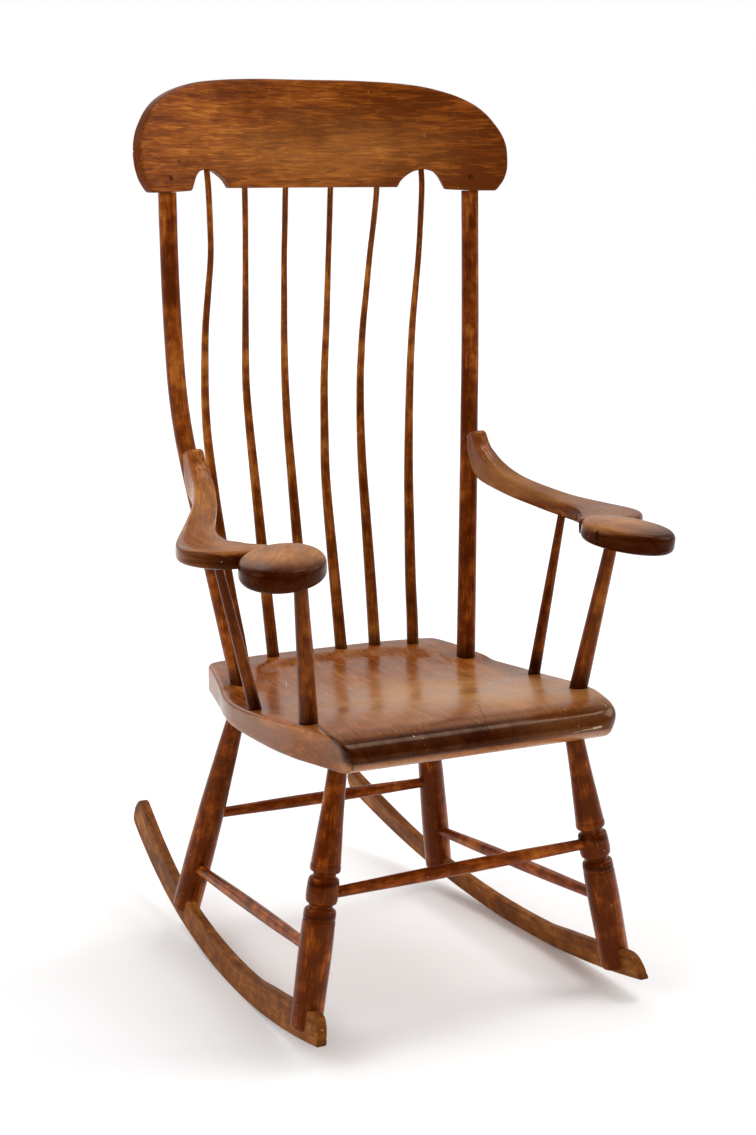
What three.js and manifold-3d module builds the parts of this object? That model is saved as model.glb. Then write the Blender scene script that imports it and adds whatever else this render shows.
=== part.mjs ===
// A tall-backed wooden rocking chair: shaped plank seat, wide crest rail, two bent posts, six bent
// spindles, two arms with oval hand-holds, turned front legs, plain rear legs, stretchers and blades.
// Millimetres, +Z up, +X to one side, the chair faces -Y. Lengths are read from the middle of the seat.

import * as THREE from 'three';
import { mergeVertices } from 'three/addons/utils/BufferGeometryUtils.js';
import Module from 'manifold-3d';

const wasm = await Module();
wasm.setup();

// Fit between pieces
const CLEARANCE = 0.3;
const OVERRUN = 4;
const WELD = 0.0001;

// Rocker blades
const BLADE_RADIUS = 1350;
const BLADE_DEPTH = 29;
const BLADE_FRONT_DEPTH = 34;
const BLADE_REAR_DEPTH = 36;
const BLADE_THICKNESS = 13;
const BLADE_SPREAD = 206;
const BLADE_FRONT = 238;
const BLADE_REAR = 500;
const BLADE_CONTACT = 33;
const BLADE_FACET = 44;
const BLADE_NOSE = 40;
const BLADE_OUTSET = 3;
const BLADE_TOE_SHARE = 0.047;
const BLADE_LEAN_SHARE = 0.21;

// Seat plank
const SEAT_UNDERSIDE = 329;
const SEAT_THICKNESS = 46;
const SEAT_HALF = 208;
const SEAT_FRONT = 222;
const SEAT_REAR = 236;
const DECK_RISE = 38;
const SOCKET_DEPTH = 20;

// Back: posts, spindles and crest rail
const BACK_RISE = 602;
const POST_SPREAD = 50.5;
const POST_LEAN = 91;
const POST_FOOT_WIDTH = 25;
const POST_HEAD_WIDTH = 22.5;
const POST_TENON_WIDTH = 9;
const SPINDLE_FOOT_WIDTH = 16.5;
const SPINDLE_HEAD_WIDTH = 7.5;
const SPINDLE_BEND = 42;
const CREST_HALF = 258;
const CREST_HEIGHT = 141;
const CREST_THICKNESS = 15;
const CREST_BOW = 69;
const CREST_LEAN = 20;
const CREST_SOCKET = 22;
const CREST_SET = 3.5;
const PEG_WIDTH = 6;

// Arms and what carries them
const ARM_RISE = 201;
const ARM_SWEEP = 88;
const ARM_THICKNESS = 20.5;
const ARM_WIDTH = 80;
const ARM_OUTWARD = 70;
const ARM_REACH = 325;
const ARM_SCOOP = 4;
const ARM_SOCKET = 12;
const ARM_TENON_WIDTH = 9;
const ARM_TENON_LENGTH = 9;
const PADDLE_LENGTH = 115;
const PADDLE_WIDTH = 97;
const PADDLE_THICKNESS = 25;
const PADDLE_EDGE = 6;
const PADDLE_TURN_SHARE = 0.278;
const PADDLE_DIP_SHARE = 0.036;
const PADDLE_CANT_SHARE = 0.025;
const ARM_POST_FOOT_WIDTH = 22.8;
const ARM_POST_HEAD_WIDTH = 15.2;
const ARM_SPINDLE_FOOT_WIDTH = 16;
const ARM_SPINDLE_HEAD_WIDTH = 10;

// Legs and stretchers
const FRONT_LEG_WIDTH = 39.3;
const REAR_LEG_WIDTH = 37.2;
const LEG_SOCKET = 12;
const FOOT_LIFT = 10;
const STRETCHER_WIDTH = 16.5;
const STRETCHER_END_WIDTH = 13;
const STRETCHER_INSET = 6;

// Heights that follow from the sizes above
const DECK = SEAT_UNDERSIDE + DECK_RISE;
const BACK_TOP = DECK + BACK_RISE;
const ARM_LEVEL = DECK + ARM_RISE;

// Seat outline from above, right half, in shares of its half width and its reach forward or back
const SEAT_PLAN_SHARES = [
  [0, -1], [0.74, -1], [0.84, -0.992], [0.885, -0.96], [0.905, -0.9], [0.92, -0.82], [0.938, -0.71],
  [0.968, -0.51], [0.988, -0.266], [1, 0], [0.995, 0.16], [0.962, 0.35], [0.918, 0.496], [0.868, 0.68],
  [0.835, 0.8], [0.812, 0.885], [0.785, 0.92], [0.74, 0.938], [0.56, 0.965], [0.3, 0.99], [0, 1],
];
const SOLE_SHARE = 0.68;

// Rolled sitting surface from front to back, in shares of the reach and of the thickness
const SEAT_ROLL_SHARES = [
  [-0.93, 0.15], [-0.99, 0.43], [-1, 0.6], [-0.988, 0.78], [-0.946, 0.91], [-0.865, 0.985], [-0.71, 1],
  [-0.51, 0.946], [-0.266, 0.83], [0, 0.7], [0.16, 0.65], [0.35, 0.625], [0.6, 0.64], [0.8, 0.67],
];

// Edge of the raised deck that carries the back, right half
const DECK_EDGE_SHARES = [
  [0, 0.845], [0.2, 0.835], [0.36, 0.815], [0.48, 0.775], [0.565, 0.72], [0.615, 0.635], [0.65, 0.53],
  [0.7, 0.44], [0.79, 0.415], [0.9, 0.47], [1, 0.5],
];

// Deck surface from its edge to the back of the plank
const DECK_ROLL_SHARES = [[0.38, 0.8], [0.5, 0.88], [0.68, 0.965], [0.8, 1], [0.96, 1], [1, 0.93]];

// Feet of the posts, spindles and arm supports on the seat
const POST_FOOT_SHARES = [0.78, 0.502];
const SPINDLE_FOOT_SHARES = [[0.119, 0.911], [0.359, 0.909], [0.598, 0.841]];
const ARM_SPINDLE_FOOT_SHARES = [0.934, -0.018];
const ARM_POST_FOOT_SHARES = [0.874, -0.587];

// Posts: height, spread and lean
const POST_LINE_SHARES = [
  [0, 0, 0], [0.25, 0.416, 0.393], [0.44, 0.735, 0.695], [0.52, 0.845, 0.805], [0.6, 0.92, 0.872],
  [0.7, 0.965, 0.918], [0.8, 0.99, 0.955], [0.9, 1, 0.98], [1, 1, 1],
];

// Spindles from the middle outward: where their heads stand along the crest, and how each one bends,
// as height, sideways and back
const STRAIGHT_SHARES = [1, 0];
const SPINDLE_TAPER_SHARES = [1, 0.85, 0.62, 0.4, 0.2, 0.04, 0];
const SPINDLE_HEAD_SHARES = [0.124, 0.364, 0.588];
const SPINDLE_BEND_SHARES = [
  [
    [0, 0, 0], [0.1, -0.02, 0.21], [0.2, -0.04, 0.43], [0.3, -0.06, 0.64], [0.377, -0.064, 0.767],
    [0.47, -0.03, 0.83], [0.56, -0.012, 0.825], [0.62, 0.005, 0.75], [0.675, 0.02, 0.657],
    [0.75, 0.022, 0.52], [0.83, 0.024, 0.38], [0.9, 0.015, 0.23], [0.966, 0.007, 0.1], [1, 0, 0],
  ],
  [
    [0, 0, 0], [0.1, -0.01, 0.21], [0.2, -0.03, 0.42], [0.3, -0.055, 0.63], [0.384, -0.07, 0.81],
    [0.48, -0.065, 0.955], [0.566, -0.055, 0.995], [0.62, -0.06, 0.92], [0.68, -0.064, 0.8],
    [0.755, -0.05, 0.59], [0.832, -0.036, 0.38], [0.9, -0.01, 0.17], [0.963, 0.01, 0.02], [1, 0, 0],
  ],
  [
    [0, 0, 0], [0.05, 0.03, 0.12], [0.123, 0.08, 0.36], [0.273, 0.17, 0.71], [0.346, 0.2, 0.84],
    [0.45, 0.24, 0.94], [0.515, 0.235, 0.92], [0.588, 0.2, 0.81], [0.662, 0.16, 0.635],
    [0.734, 0.1, 0.345], [0.806, 0.04, 0.055], [0.877, 0.025, -0.07], [0.948, 0.02, -0.12], [1, 0, 0],
  ],
];

// Crest outline from the front, right half, from the middle of its lower edge round to its top
const CREST_LOWER_SHARES = [
  [0, 0.032], [0.46, 0.032], [0.475, 0.075], [0.51, 0.135], [0.555, 0.18], [0.6, 0.195], [0.64, 0.18],
  [0.668, 0.13], [0.685, 0.065], [0.7, 0.012], [0.931, 0],
];
const CREST_UPPER_SHARES = [
  [0.962, 0.055], [0.985, 0.13], [0.998, 0.23], [1, 0.35], [0.99, 0.47], [0.955, 0.6], [0.91, 0.71],
  [0.85, 0.8], [0.727, 0.9], [0.575, 0.962], [0.395, 0.99], [0.2, 1], [0, 1],
];
const PEG_RISE_SHARE = 0.77;

// Arm centre line: outward, forward and rise
const ARM_LINE_SHARES = [
  [-0.01, 0.009, 0.975], [-0.01, 0.026, 0.8], [0, 0.054, 0.575], [0.03, 0.123, 0.44], [0.13, 0.194, 0.33],
  [0.24, 0.252, 0.25], [0.47, 0.345, 0.15], [0.69, 0.437, 0.065], [0.86, 0.532, 0.019],
  [0.97, 0.631, -0.011], [0.94, 0.711, -0.011], [0.74, 0.775, -0.011], [0.46, 0.812, -0.006],
  [0.13, 0.868, 0],
];

// Arm width and thickness along that line
const ARM_WIDTH_SHARES = [
  [0, 0.28], [0.115, 0.3], [0.183, 0.32], [0.255, 0.35], [0.317, 0.38], [0.42, 0.42], [0.518, 0.49],
  [0.615, 0.63], [0.708, 0.84], [0.782, 1], [0.853, 0.99], [0.918, 0.72], [1, 0.5],
];
const ARM_THICKNESS_SHARES = [
  [0, 0.95], [0.05, 1.3], [0.115, 2.05], [0.183, 1.7], [0.255, 1.32], [0.317, 1.15], [0.42, 1.07],
  [0.518, 1.05], [0.615, 1.07], [0.782, 1.13], [0.853, 1.16], [1, 1.17],
];
const ARM_SECTION_SHARES = [
  [1, 0.25], [0.95, 0.75], [0.8, 1], [-0.8, 1], [-0.95, 0.75], [-1, 0.25], [-1, -0.45], [-0.94, -0.85],
  [-0.8, -1], [0.8, -1], [0.94, -0.85], [1, -0.45],
];
const PADDLE_PLACE_SHARES = [0.357, 1.025, 0];
const ARM_SPINDLE_HEAD_SHARES = [0.564, 0.491, 0];
const ARM_POST_INSET_SHARE = 0.177;
const ARM_TENON_SHARE = 0.73;

// Turned front leg: distance from the head in shares of its length, and radius in shares of its width
const FRONT_LEG_SHARES = [
  [0, 0.283], [0.08, 0.298], [0.2, 0.34], [0.3, 0.393], [0.388, 0.44], [0.395, 0.431], [0.402, 0.45],
  [0.415, 0.457], [0.425, 0.435], [0.433, 0.351], [0.44, 0.346], [0.448, 0.419], [0.456, 0.456],
  [0.475, 0.473], [0.506, 0.483], [0.53, 0.471], [0.541, 0.44], [0.548, 0.367], [0.554, 0.366],
  [0.562, 0.44], [0.57, 0.471], [0.58, 0.48], [0.594, 0.482], [0.599, 0.473], [0.605, 0.488],
  [0.72, 0.5], [0.85, 0.485], [1, 0.46],
];
const FRONT_LEG_HEAD_SHARES = [0.749, -0.709];
const FRONT_FOOT_SHARE = -0.833;

// Plain rear leg, the same way
const REAR_LEG_SHARES = [
  [0, 0.27], [0.13, 0.31], [0.26, 0.365], [0.378, 0.41], [0.537, 0.463], [0.654, 0.481], [0.733, 0.495],
  [0.85, 0.5], [1, 0.49],
];
const REAR_LEG_HEAD_SHARES = [0.624, 0.771];
const REAR_FOOT_SHARE = 1.052;

// Pegs through the feet and the crest
const FOOT_PEG_SHARE = 0.75;
const FOOT_PEG_REACH_SHARE = 0.46;
const CREST_PEG_SHARE = 0.3;

// Rounded ends of a blade: how far back from the end, and rise
const BLADE_TAIL_SHARES = [
  [0.4, 0], [0.2, 0.05], [0.06, 0.2], [0, 0.44], [0.03, 0.7], [0.13, 0.9], [0.32, 1],
];
const BLADE_NOSE_SHARES = [[1, 1], [0.8, 0.97], [0.55, 0.85], [0.3, 0.62], [0.12, 0.36], [0, 0.06]];
const BLADE_FRONT_SWELL_SHARES = [[-0.8, 1], [-0.5, 0.7], [-0.25, 0]];
const BLADE_REAR_SWELL_SHARES = [[0.45, 0], [0.7, 0.6], [0.9, 1]];

// Stretchers: heights at their two ends in shares of the seat's underside, and the swell along each
const FRONT_STRETCHER_SHARES = [0.547, 0.57];
const REAR_STRETCHER_SHARES = [0.49, 0.49];
const SIDE_STRETCHER_SHARES = [0.35, 0.26];
const SWELL_SHARES = [0, 0.35, 0.8, 1, 1, 0.8, 0.35, 0];

// Facets round and along each kind of piece
const PEG_SIDES = 10;
const STRETCHER_SIDES = 12;
const SUPPORT_SIDES = 12;
const SPINDLE_SIDES = 10;
const SPINDLE_STEPS = 18;
const POST_SIDES = 12;
const POST_STEPS = 14;
const FRONT_LEG_SIDES = 16;
const REAR_LEG_SIDES = 16;
const CREST_STEPS = 20;
const ARM_STEPS = 26;
const PADDLE_SIDES = 24;
const PADDLE_EDGE_STEPS = 2;

// Finishes
function stain(colour, roughness) {
  return new THREE.MeshStandardMaterial({ color: colour, roughness, metalness: 0 });
}
const seatStain = stain(0x6b3d20, 0.42);
const crestStain = stain(0x73391a, 0.42);
const armStain = stain(0x6a3a1c, 0.45);
const turnedStain = stain(0x6f3817, 0.42);
const spindleStain = stain(0x7a3c14, 0.42);
const bladeStain = stain(0x6a4225, 0.6);
const pegStain = stain(0x472512, 0.6);

const chair = new THREE.Group();
const xAxis = new THREE.Vector3(1, 0, 0);
const yAxis = new THREE.Vector3(0, 1, 0);
const zAxis = new THREE.Vector3(0, 0, 1);

// A closed geometry as a solid that can be cut and joined
function solid(geometry) {
  geometry.deleteAttribute('normal');
  geometry.deleteAttribute('uv');
  const merged = mergeVertices(geometry, WELD);
  const corners = merged.index.array;
  const faces = [];
  for (let i = 0; i < corners.length; i += 3) {
    const [a, b, c] = [corners[i], corners[i + 1], corners[i + 2]];
    if (a !== b && b !== c && c !== a) faces.push(a, b, c);
  }
  const vertProperties = new Float32Array(merged.attributes.position.array);
  return new wasm.Manifold(new wasm.Mesh({ numProp: 3, vertProperties, triVerts: new Uint32Array(faces) }));
}

// A finished solid as a named piece of the chair
function addPiece(name, body, finish) {
  const { vertProperties, triVerts } = body.getMesh();
  const geometry = new THREE.BufferGeometry();
  geometry.setAttribute('position', new THREE.BufferAttribute(vertProperties, 3));
  geometry.setIndex(new THREE.BufferAttribute(triVerts, 1));
  geometry.computeVertexNormals();
  const mesh = new THREE.Mesh(geometry, finish);
  mesh.name = name;
  chair.add(mesh);
}

// Moves every point of a geometry by a rule
function reshape(geometry, rule) {
  const position = geometry.attributes.position;
  const point = new THREE.Vector3();
  for (let i = 0; i < position.count; i += 1) {
    point.fromBufferAttribute(position, i);
    rule(point);
    position.setXYZ(i, point.x, point.y, point.z);
  }
  return geometry;
}

// Value at a place along a table of evenly spaced shares
function along(table, place) {
  const step = place * (table.length - 1);
  const low = Math.min(Math.floor(step), table.length - 2);
  return THREE.MathUtils.lerp(table[low], table[low + 1], step - low);
}

// Value at a place in a table of pairs
function between(table, place) {
  let k = 1;
  while (k < table.length - 1 && table[k][0] < place) k += 1;
  const [[x0, y0], [x1, y1]] = [table[k - 1], table[k]];
  return y0 + (y1 - y0) * THREE.MathUtils.clamp((place - x0) / (x1 - x0), 0, 1);
}

// A round rod turned between two points, its radii given from one end to the other
function turned(from, to, radii, sides) {
  const length = from.distanceTo(to);
  const profile = [new THREE.Vector2(0, 0)];
  radii.forEach(([share, radius]) => profile.push(new THREE.Vector2(radius, share * length)));
  profile.push(new THREE.Vector2(0, length));
  const geometry = new THREE.LatheGeometry(profile, sides);
  const direction = to.clone().sub(from).normalize();
  geometry.applyQuaternion(new THREE.Quaternion().setFromUnitVectors(yAxis, direction));
  geometry.translate(from.x, from.y, from.z);
  return solid(geometry);
}

// A section carried along a curve, its width and thickness following the place on the curve
function swept(section, curve, steps, sizeAt, grow) {
  const geometry = new THREE.ExtrudeGeometry(section, { depth: 1, steps, bevelEnabled: false });
  reshape(geometry, (point) => {
    const at = curve.getPointAt(point.z);
    const ahead = curve.getTangentAt(point.z);
    at.addScaledVector(ahead, grow * (Math.floor(point.z) + Math.ceil(point.z) - 1));
    const side = xAxis.clone().addScaledVector(ahead, -ahead.x).normalize();
    const face = ahead.clone().cross(side);
    const [width, thickness] = sizeAt(point.z);
    point.copy(at.addScaledVector(side, point.x * width).addScaledVector(face, point.y * thickness));
  });
  return solid(geometry);
}

// Regular section of unit width
function roundSection(sides) {
  const corners = [];
  for (let i = 0; i < sides; i += 1) {
    const angle = (2 * Math.PI * (i + 0.5)) / sides;
    corners.push(new THREE.Vector2(Math.cos(angle), Math.sin(angle)).multiplyScalar(0.5));
  }
  return new THREE.Shape(corners);
}

// Points of a plan given in shares of the seat, on the side asked for
function onSeat([across, reach], side) {
  return new THREE.Vector2(side * across * SEAT_HALF, reach * (reach < 0 ? SEAT_FRONT : SEAT_REAR));
}

// Closed outline made of a right half and its mirror image
function mirrored(points) {
  const left = points.filter((point) => point.x > 0).reverse();
  return new THREE.Shape([...points, ...left.map((point) => new THREE.Vector2(-point.x, point.y))]);
}

// A side view drawn fore-and-aft and up, made into a slab across the chair
function acrossSlab(outline, half) {
  const shape = new THREE.Shape(outline);
  const geometry = new THREE.ExtrudeGeometry(shape, { depth: 2 * half, bevelEnabled: false });
  return solid(reshape(geometry, (point) => point.set(point.z - half, point.x, point.y)));
}

// A plan made into a block between two heights
function planBlock(shape, low, high) {
  const geometry = new THREE.ExtrudeGeometry(shape, { depth: high - low, bevelEnabled: false });
  return solid(geometry.translate(0, 0, low));
}

// Height of the sitting surface and of the deck at a distance from the middle
function sittingHeight(reach) {
  const share = reach / (reach < 0 ? SEAT_FRONT : SEAT_REAR);
  return SEAT_UNDERSIDE + SEAT_THICKNESS * between(SEAT_ROLL_SHARES.slice(2), share);
}
function deckHeight(reach) {
  return SEAT_UNDERSIDE + DECK_RISE * between(DECK_ROLL_SHARES, reach / SEAT_REAR);
}

// Seat plank: plan and rolled side view, with the raised deck joined on
function seatBlank() {
  const wide = SEAT_HALF + OVERRUN;
  const plan = mirrored(SEAT_PLAN_SHARES.map((share) => onSeat(share, 1)));
  const top = SEAT_UNDERSIDE + SEAT_THICKNESS + OVERRUN;
  const blank = planBlock(plan, SEAT_UNDERSIDE, top);
  const backEdge = SEAT_REAR + OVERRUN;
  const roll = SEAT_ROLL_SHARES.map(([reach, rise]) => new THREE.Vector2(
    reach * (reach < 0 ? SEAT_FRONT : SEAT_REAR), SEAT_UNDERSIDE + rise * SEAT_THICKNESS));
  const sitting = acrossSlab([
    new THREE.Vector2(-SEAT_FRONT * SOLE_SHARE, SEAT_UNDERSIDE), ...roll,
    new THREE.Vector2(backEdge, roll[roll.length - 1].y), new THREE.Vector2(backEdge, SEAT_UNDERSIDE),
  ], wide);
  const deckTop = DECK_ROLL_SHARES.map(([reach, rise]) => new THREE.Vector2(
    reach * SEAT_REAR, SEAT_UNDERSIDE + rise * DECK_RISE));
  const deckSide = acrossSlab([
    new THREE.Vector2(deckTop[0].x, SEAT_UNDERSIDE), ...deckTop,
    new THREE.Vector2(backEdge, deckTop[deckTop.length - 1].y), new THREE.Vector2(backEdge, SEAT_UNDERSIDE),
  ], wide);
  const edge = DECK_EDGE_SHARES.map((share) => onSeat(share, 1));
  const deckPlan = mirrored([...edge, new THREE.Vector2(wide, edge[edge.length - 1].y),
    new THREE.Vector2(wide, backEdge), new THREE.Vector2(0, backEdge)]);
  const deck = planBlock(deckPlan, SEAT_UNDERSIDE, top).intersect(deckSide);
  return blank.intersect(sitting.add(deck));
}

// Rocker blade: a point at an arc length behind the contact and at a rise above the sole
const facetTurn = 2 * Math.asin(BLADE_FACET / (2 * BLADE_RADIUS));
const bladeCentre = BLADE_RADIUS * Math.cos(facetTurn / 2);
function onBlade(arc, rise) {
  const turn = arc / BLADE_RADIUS;
  const radius = BLADE_RADIUS - rise;
  return new THREE.Vector2(BLADE_CONTACT + radius * Math.sin(turn), bladeCentre - radius * Math.cos(turn));
}

// Distance of a blade's middle from the chair's middle plane: it toes in to the back and leans with the legs
function bladeOffset(reach, height) {
  return BLADE_SPREAD - BLADE_TOE_SHARE * reach - BLADE_LEAN_SHARE * (height - BLADE_DEPTH);
}

// Depth of a blade at an arc length behind the contact: it is deeper toward both ends
function bladeDepth(arc) {
  const front = (BLADE_FRONT_DEPTH - BLADE_DEPTH) * between(BLADE_FRONT_SWELL_SHARES, arc / BLADE_FRONT);
  const rear = (BLADE_REAR_DEPTH - BLADE_DEPTH) * between(BLADE_REAR_SWELL_SHARES, arc / BLADE_REAR);
  return BLADE_DEPTH + front + rear;
}

function bladeSolid(side, grow) {
  const front = -BLADE_FRONT - BLADE_CONTACT - grow;
  const rear = BLADE_REAR - BLADE_CONTACT + grow;
  const facet = BLADE_RADIUS * facetTurn;
  const outline = [];
  const low = Math.ceil((front + BLADE_NOSE) / facet - 0.5);
  const high = Math.floor((rear - BLADE_REAR_DEPTH) / facet - 0.5);
  outline.push(onBlade(front, -grow));
  for (let k = low; k <= high; k += 1) outline.push(onBlade((k + 0.5) * facet, -grow));
  BLADE_TAIL_SHARES.forEach(([back, rise]) => {
    outline.push(onBlade(rear - back * BLADE_REAR_DEPTH, rise * (BLADE_REAR_DEPTH + 2 * grow) - grow));
  });
  for (let k = high; k >= low; k -= 1) {
    const arc = (k + 0.5) * facet;
    outline.push(onBlade(arc, bladeDepth(arc) + grow));
  }
  BLADE_NOSE_SHARES.forEach(([back, rise]) => {
    outline.push(onBlade(front + back * BLADE_NOSE, rise * (BLADE_FRONT_DEPTH + 2 * grow) - grow));
  });
  const thickness = BLADE_THICKNESS + 2 * grow;
  const shape = new THREE.Shape(outline);
  const geometry = new THREE.ExtrudeGeometry(shape, { depth: thickness, bevelEnabled: false });
  return solid(reshape(geometry, (point) => {
    const offset = side * bladeOffset(point.x, point.y);
    point.set(offset + point.z - thickness / 2, point.x, point.y);
  }));
}

// Legs run from their sockets in the seat down to the blades
function legLine([across, reach], footShare, side) {
  const head = onSeat([across, reach], side);
  const footReach = footShare * (footShare < 0 ? SEAT_FRONT : SEAT_REAR);
  const sole = onBlade(footReach - BLADE_CONTACT, FOOT_LIFT);
  return {
    head: new THREE.Vector3(head.x, head.y, SEAT_UNDERSIDE + LEG_SOCKET),
    foot: new THREE.Vector3(side * (bladeOffset(sole.x, sole.y) - BLADE_OUTSET), sole.x, sole.y),
  };
}

// Place on a leg's axis at a height
function legAt(line, height) {
  return line.head.clone().lerp(line.foot, (line.head.z - height) / (line.head.z - line.foot.z));
}

function legSolid(line, shares, width, sides, grow) {
  const reach = line.foot.clone().sub(line.head).setLength(grow);
  const radii = shares.map(([share, radius]) => [share, radius * width + grow]);
  return turned(line.head.clone().sub(reach), line.foot.clone().add(reach), radii, sides);
}

// A stretcher swells from its ends to its middle
function stretcherSolid(start, end, grow) {
  const gap = end.clone().sub(start).setLength(STRETCHER_INSET - grow);
  const radii = SWELL_SHARES.map((swell, k) => [
    k / (SWELL_SHARES.length - 1),
    THREE.MathUtils.lerp(STRETCHER_END_WIDTH, STRETCHER_WIDTH, swell) / 2 + grow,
  ]);
  return turned(start.clone().add(gap), end.clone().sub(gap), radii, STRETCHER_SIDES);
}

// Peg through a leg's cheeks and the blade between them
function footPeg(line, width, grow) {
  const middle = legAt(line, line.foot.z - FOOT_LIFT + BLADE_DEPTH * FOOT_PEG_SHARE);
  const half = xAxis.clone().multiplyScalar(width * FOOT_PEG_REACH_SHARE + grow);
  return turned(middle.clone().sub(half), middle.clone().add(half), pegRadii(grow), PEG_SIDES);
}
function pegRadii(grow) {
  return [[0, PEG_WIDTH / 2 + grow], [1, PEG_WIDTH / 2 + grow]];
}

// A bent rod through a row of places, round, tapering from its foot to its head
function rodSolid(places, sides, steps, footWidth, headWidth, taper, grow) {
  const curve = new THREE.CatmullRomCurve3(places, false, 'centripetal');
  return swept(roundSection(sides), curve, steps, (share) => {
    const width = THREE.MathUtils.lerp(headWidth, footWidth, along(taper, share)) + 2 * grow;
    return [width, width];
  }, grow);
}

// Post axis: places from the foot up to the crest
function postFoot(side) {
  const foot = onSeat(POST_FOOT_SHARES, side);
  return new THREE.Vector3(foot.x, foot.y, deckHeight(foot.y));
}
function postPlaces(side) {
  const foot = postFoot(side);
  const rise = BACK_TOP - CLEARANCE - foot.z;
  return POST_LINE_SHARES.map(([up, spread, lean]) => new THREE.Vector3(
    foot.x + side * spread * POST_SPREAD, foot.y + lean * POST_LEAN, foot.z + up * rise));
}

// The first two places of a row, carried on down into a socket
function rooted(places, depth) {
  const root = places[0].clone().sub(places[1]).setLength(depth).add(places[0]);
  return [root, ...places];
}

function postSolid(side, grow) {
  const places = postPlaces(side);
  const axis = rooted(places, SOCKET_DEPTH);
  const shaft = rodSolid(
    axis, POST_SIDES, POST_STEPS, POST_FOOT_WIDTH, POST_HEAD_WIDTH, STRAIGHT_SHARES, grow);
  const head = places[places.length - 1];
  const tenonRadius = POST_TENON_WIDTH / 2 + grow;
  const low = head.z - CREST_SOCKET;
  const high = head.z + CREST_SOCKET + grow;
  const from = new THREE.Vector3(head.x, crestReach(head.x, low), low);
  const to = new THREE.Vector3(head.x, crestReach(head.x, high), high);
  return shaft.add(turned(from, to, [[0, tenonRadius], [1, tenonRadius]], POST_SIDES));
}

// Middle of the crest board, fore-and-aft, at a distance from the middle plane and a height
const postHead = postPlaces(1)[POST_LINE_SHARES.length - 1];
function crestReach(across, height) {
  const bow = (postHead.x ** 2 - across ** 2) / CREST_HALF ** 2;
  const lean = (CREST_LEAN * (height - BACK_TOP)) / CREST_HEIGHT;
  return postHead.y - CREST_SET + CREST_BOW * bow + lean;
}

// Spindle axis: a straight line from seat to crest, bowed back by the bend
function spindlePlaces(order, side) {
  const foot = onSeat(SPINDLE_FOOT_SHARES[order], side);
  const base = new THREE.Vector3(foot.x, foot.y, deckHeight(foot.y));
  const across = side * SPINDLE_HEAD_SHARES[order] * CREST_HALF;
  const lower = between(CREST_LOWER_SHARES, SPINDLE_HEAD_SHARES[order]);
  const top = BACK_TOP + CREST_HEIGHT * lower + CREST_SOCKET;
  const head = new THREE.Vector3(across, crestReach(across, top), top);
  return SPINDLE_BEND_SHARES[order].map(([up, sideways, back]) => base.clone().lerp(head, up).add(
    new THREE.Vector3(side * sideways, back, 0).multiplyScalar(SPINDLE_BEND)));
}
function spindleSolid(order, side, grow) {
  const places = rooted(spindlePlaces(order, side), SOCKET_DEPTH);
  return rodSolid(places, SPINDLE_SIDES, SPINDLE_STEPS, SPINDLE_FOOT_WIDTH, SPINDLE_HEAD_WIDTH,
    SPINDLE_TAPER_SHARES, grow);
}

// Crest rail: a bowed, leaning board cut to its outline
function crestBlank() {
  const wide = CREST_HALF + OVERRUN;
  const arc = [];
  for (let k = 0; k <= CREST_STEPS; k += 1) {
    const across = -wide + (2 * wide * k) / CREST_STEPS;
    arc.push(new THREE.Vector2(across, crestReach(across, BACK_TOP) - CREST_THICKNESS / 2));
  }
  const back = arc.map((point) => new THREE.Vector2(point.x, point.y + CREST_THICKNESS)).reverse();
  const low = BACK_TOP - OVERRUN;
  const high = BACK_TOP + CREST_HEIGHT + OVERRUN;
  const strip = new THREE.Shape([...arc, ...back]);
  const board = new THREE.ExtrudeGeometry(strip, { depth: high - low, bevelEnabled: false });
  board.translate(0, 0, low);
  reshape(board, (point) => {
    point.y += (CREST_LEAN * (point.z - BACK_TOP)) / CREST_HEIGHT;
  });
  const outline = mirrored([...CREST_LOWER_SHARES, ...CREST_UPPER_SHARES].map(([across, rise]) => (
    new THREE.Vector2(across * CREST_HALF, BACK_TOP + rise * CREST_HEIGHT))));
  const depth = 2 * (CREST_BOW + CREST_LEAN + CREST_THICKNESS);
  const prism = new THREE.ExtrudeGeometry(outline, { depth, bevelEnabled: false });
  reshape(prism, (point) => point.set(point.x, postHead.y + depth / 2 - point.z, point.y));
  return solid(board).intersect(solid(prism));
}

// Peg let into the crest's face and through the post's tenon
function crestPeg(side, grow) {
  const height = BACK_TOP + PEG_RISE_SHARE * CREST_SOCKET;
  const reach = crestReach(postHead.x, height);
  const slope = (2 * CREST_BOW * postHead.x) / CREST_HALF ** 2;
  const inward = new THREE.Vector3(side * slope, 1, -CREST_LEAN / CREST_HEIGHT).normalize();
  const middle = new THREE.Vector3(side * postHead.x, reach, height);
  const front = middle.clone().addScaledVector(inward, -CREST_THICKNESS / 2 - grow);
  const tip = middle.clone().addScaledVector(inward, CREST_THICKNESS * CREST_PEG_SHARE + grow);
  return turned(front, tip, pegRadii(grow), PEG_SIDES);
}

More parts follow.
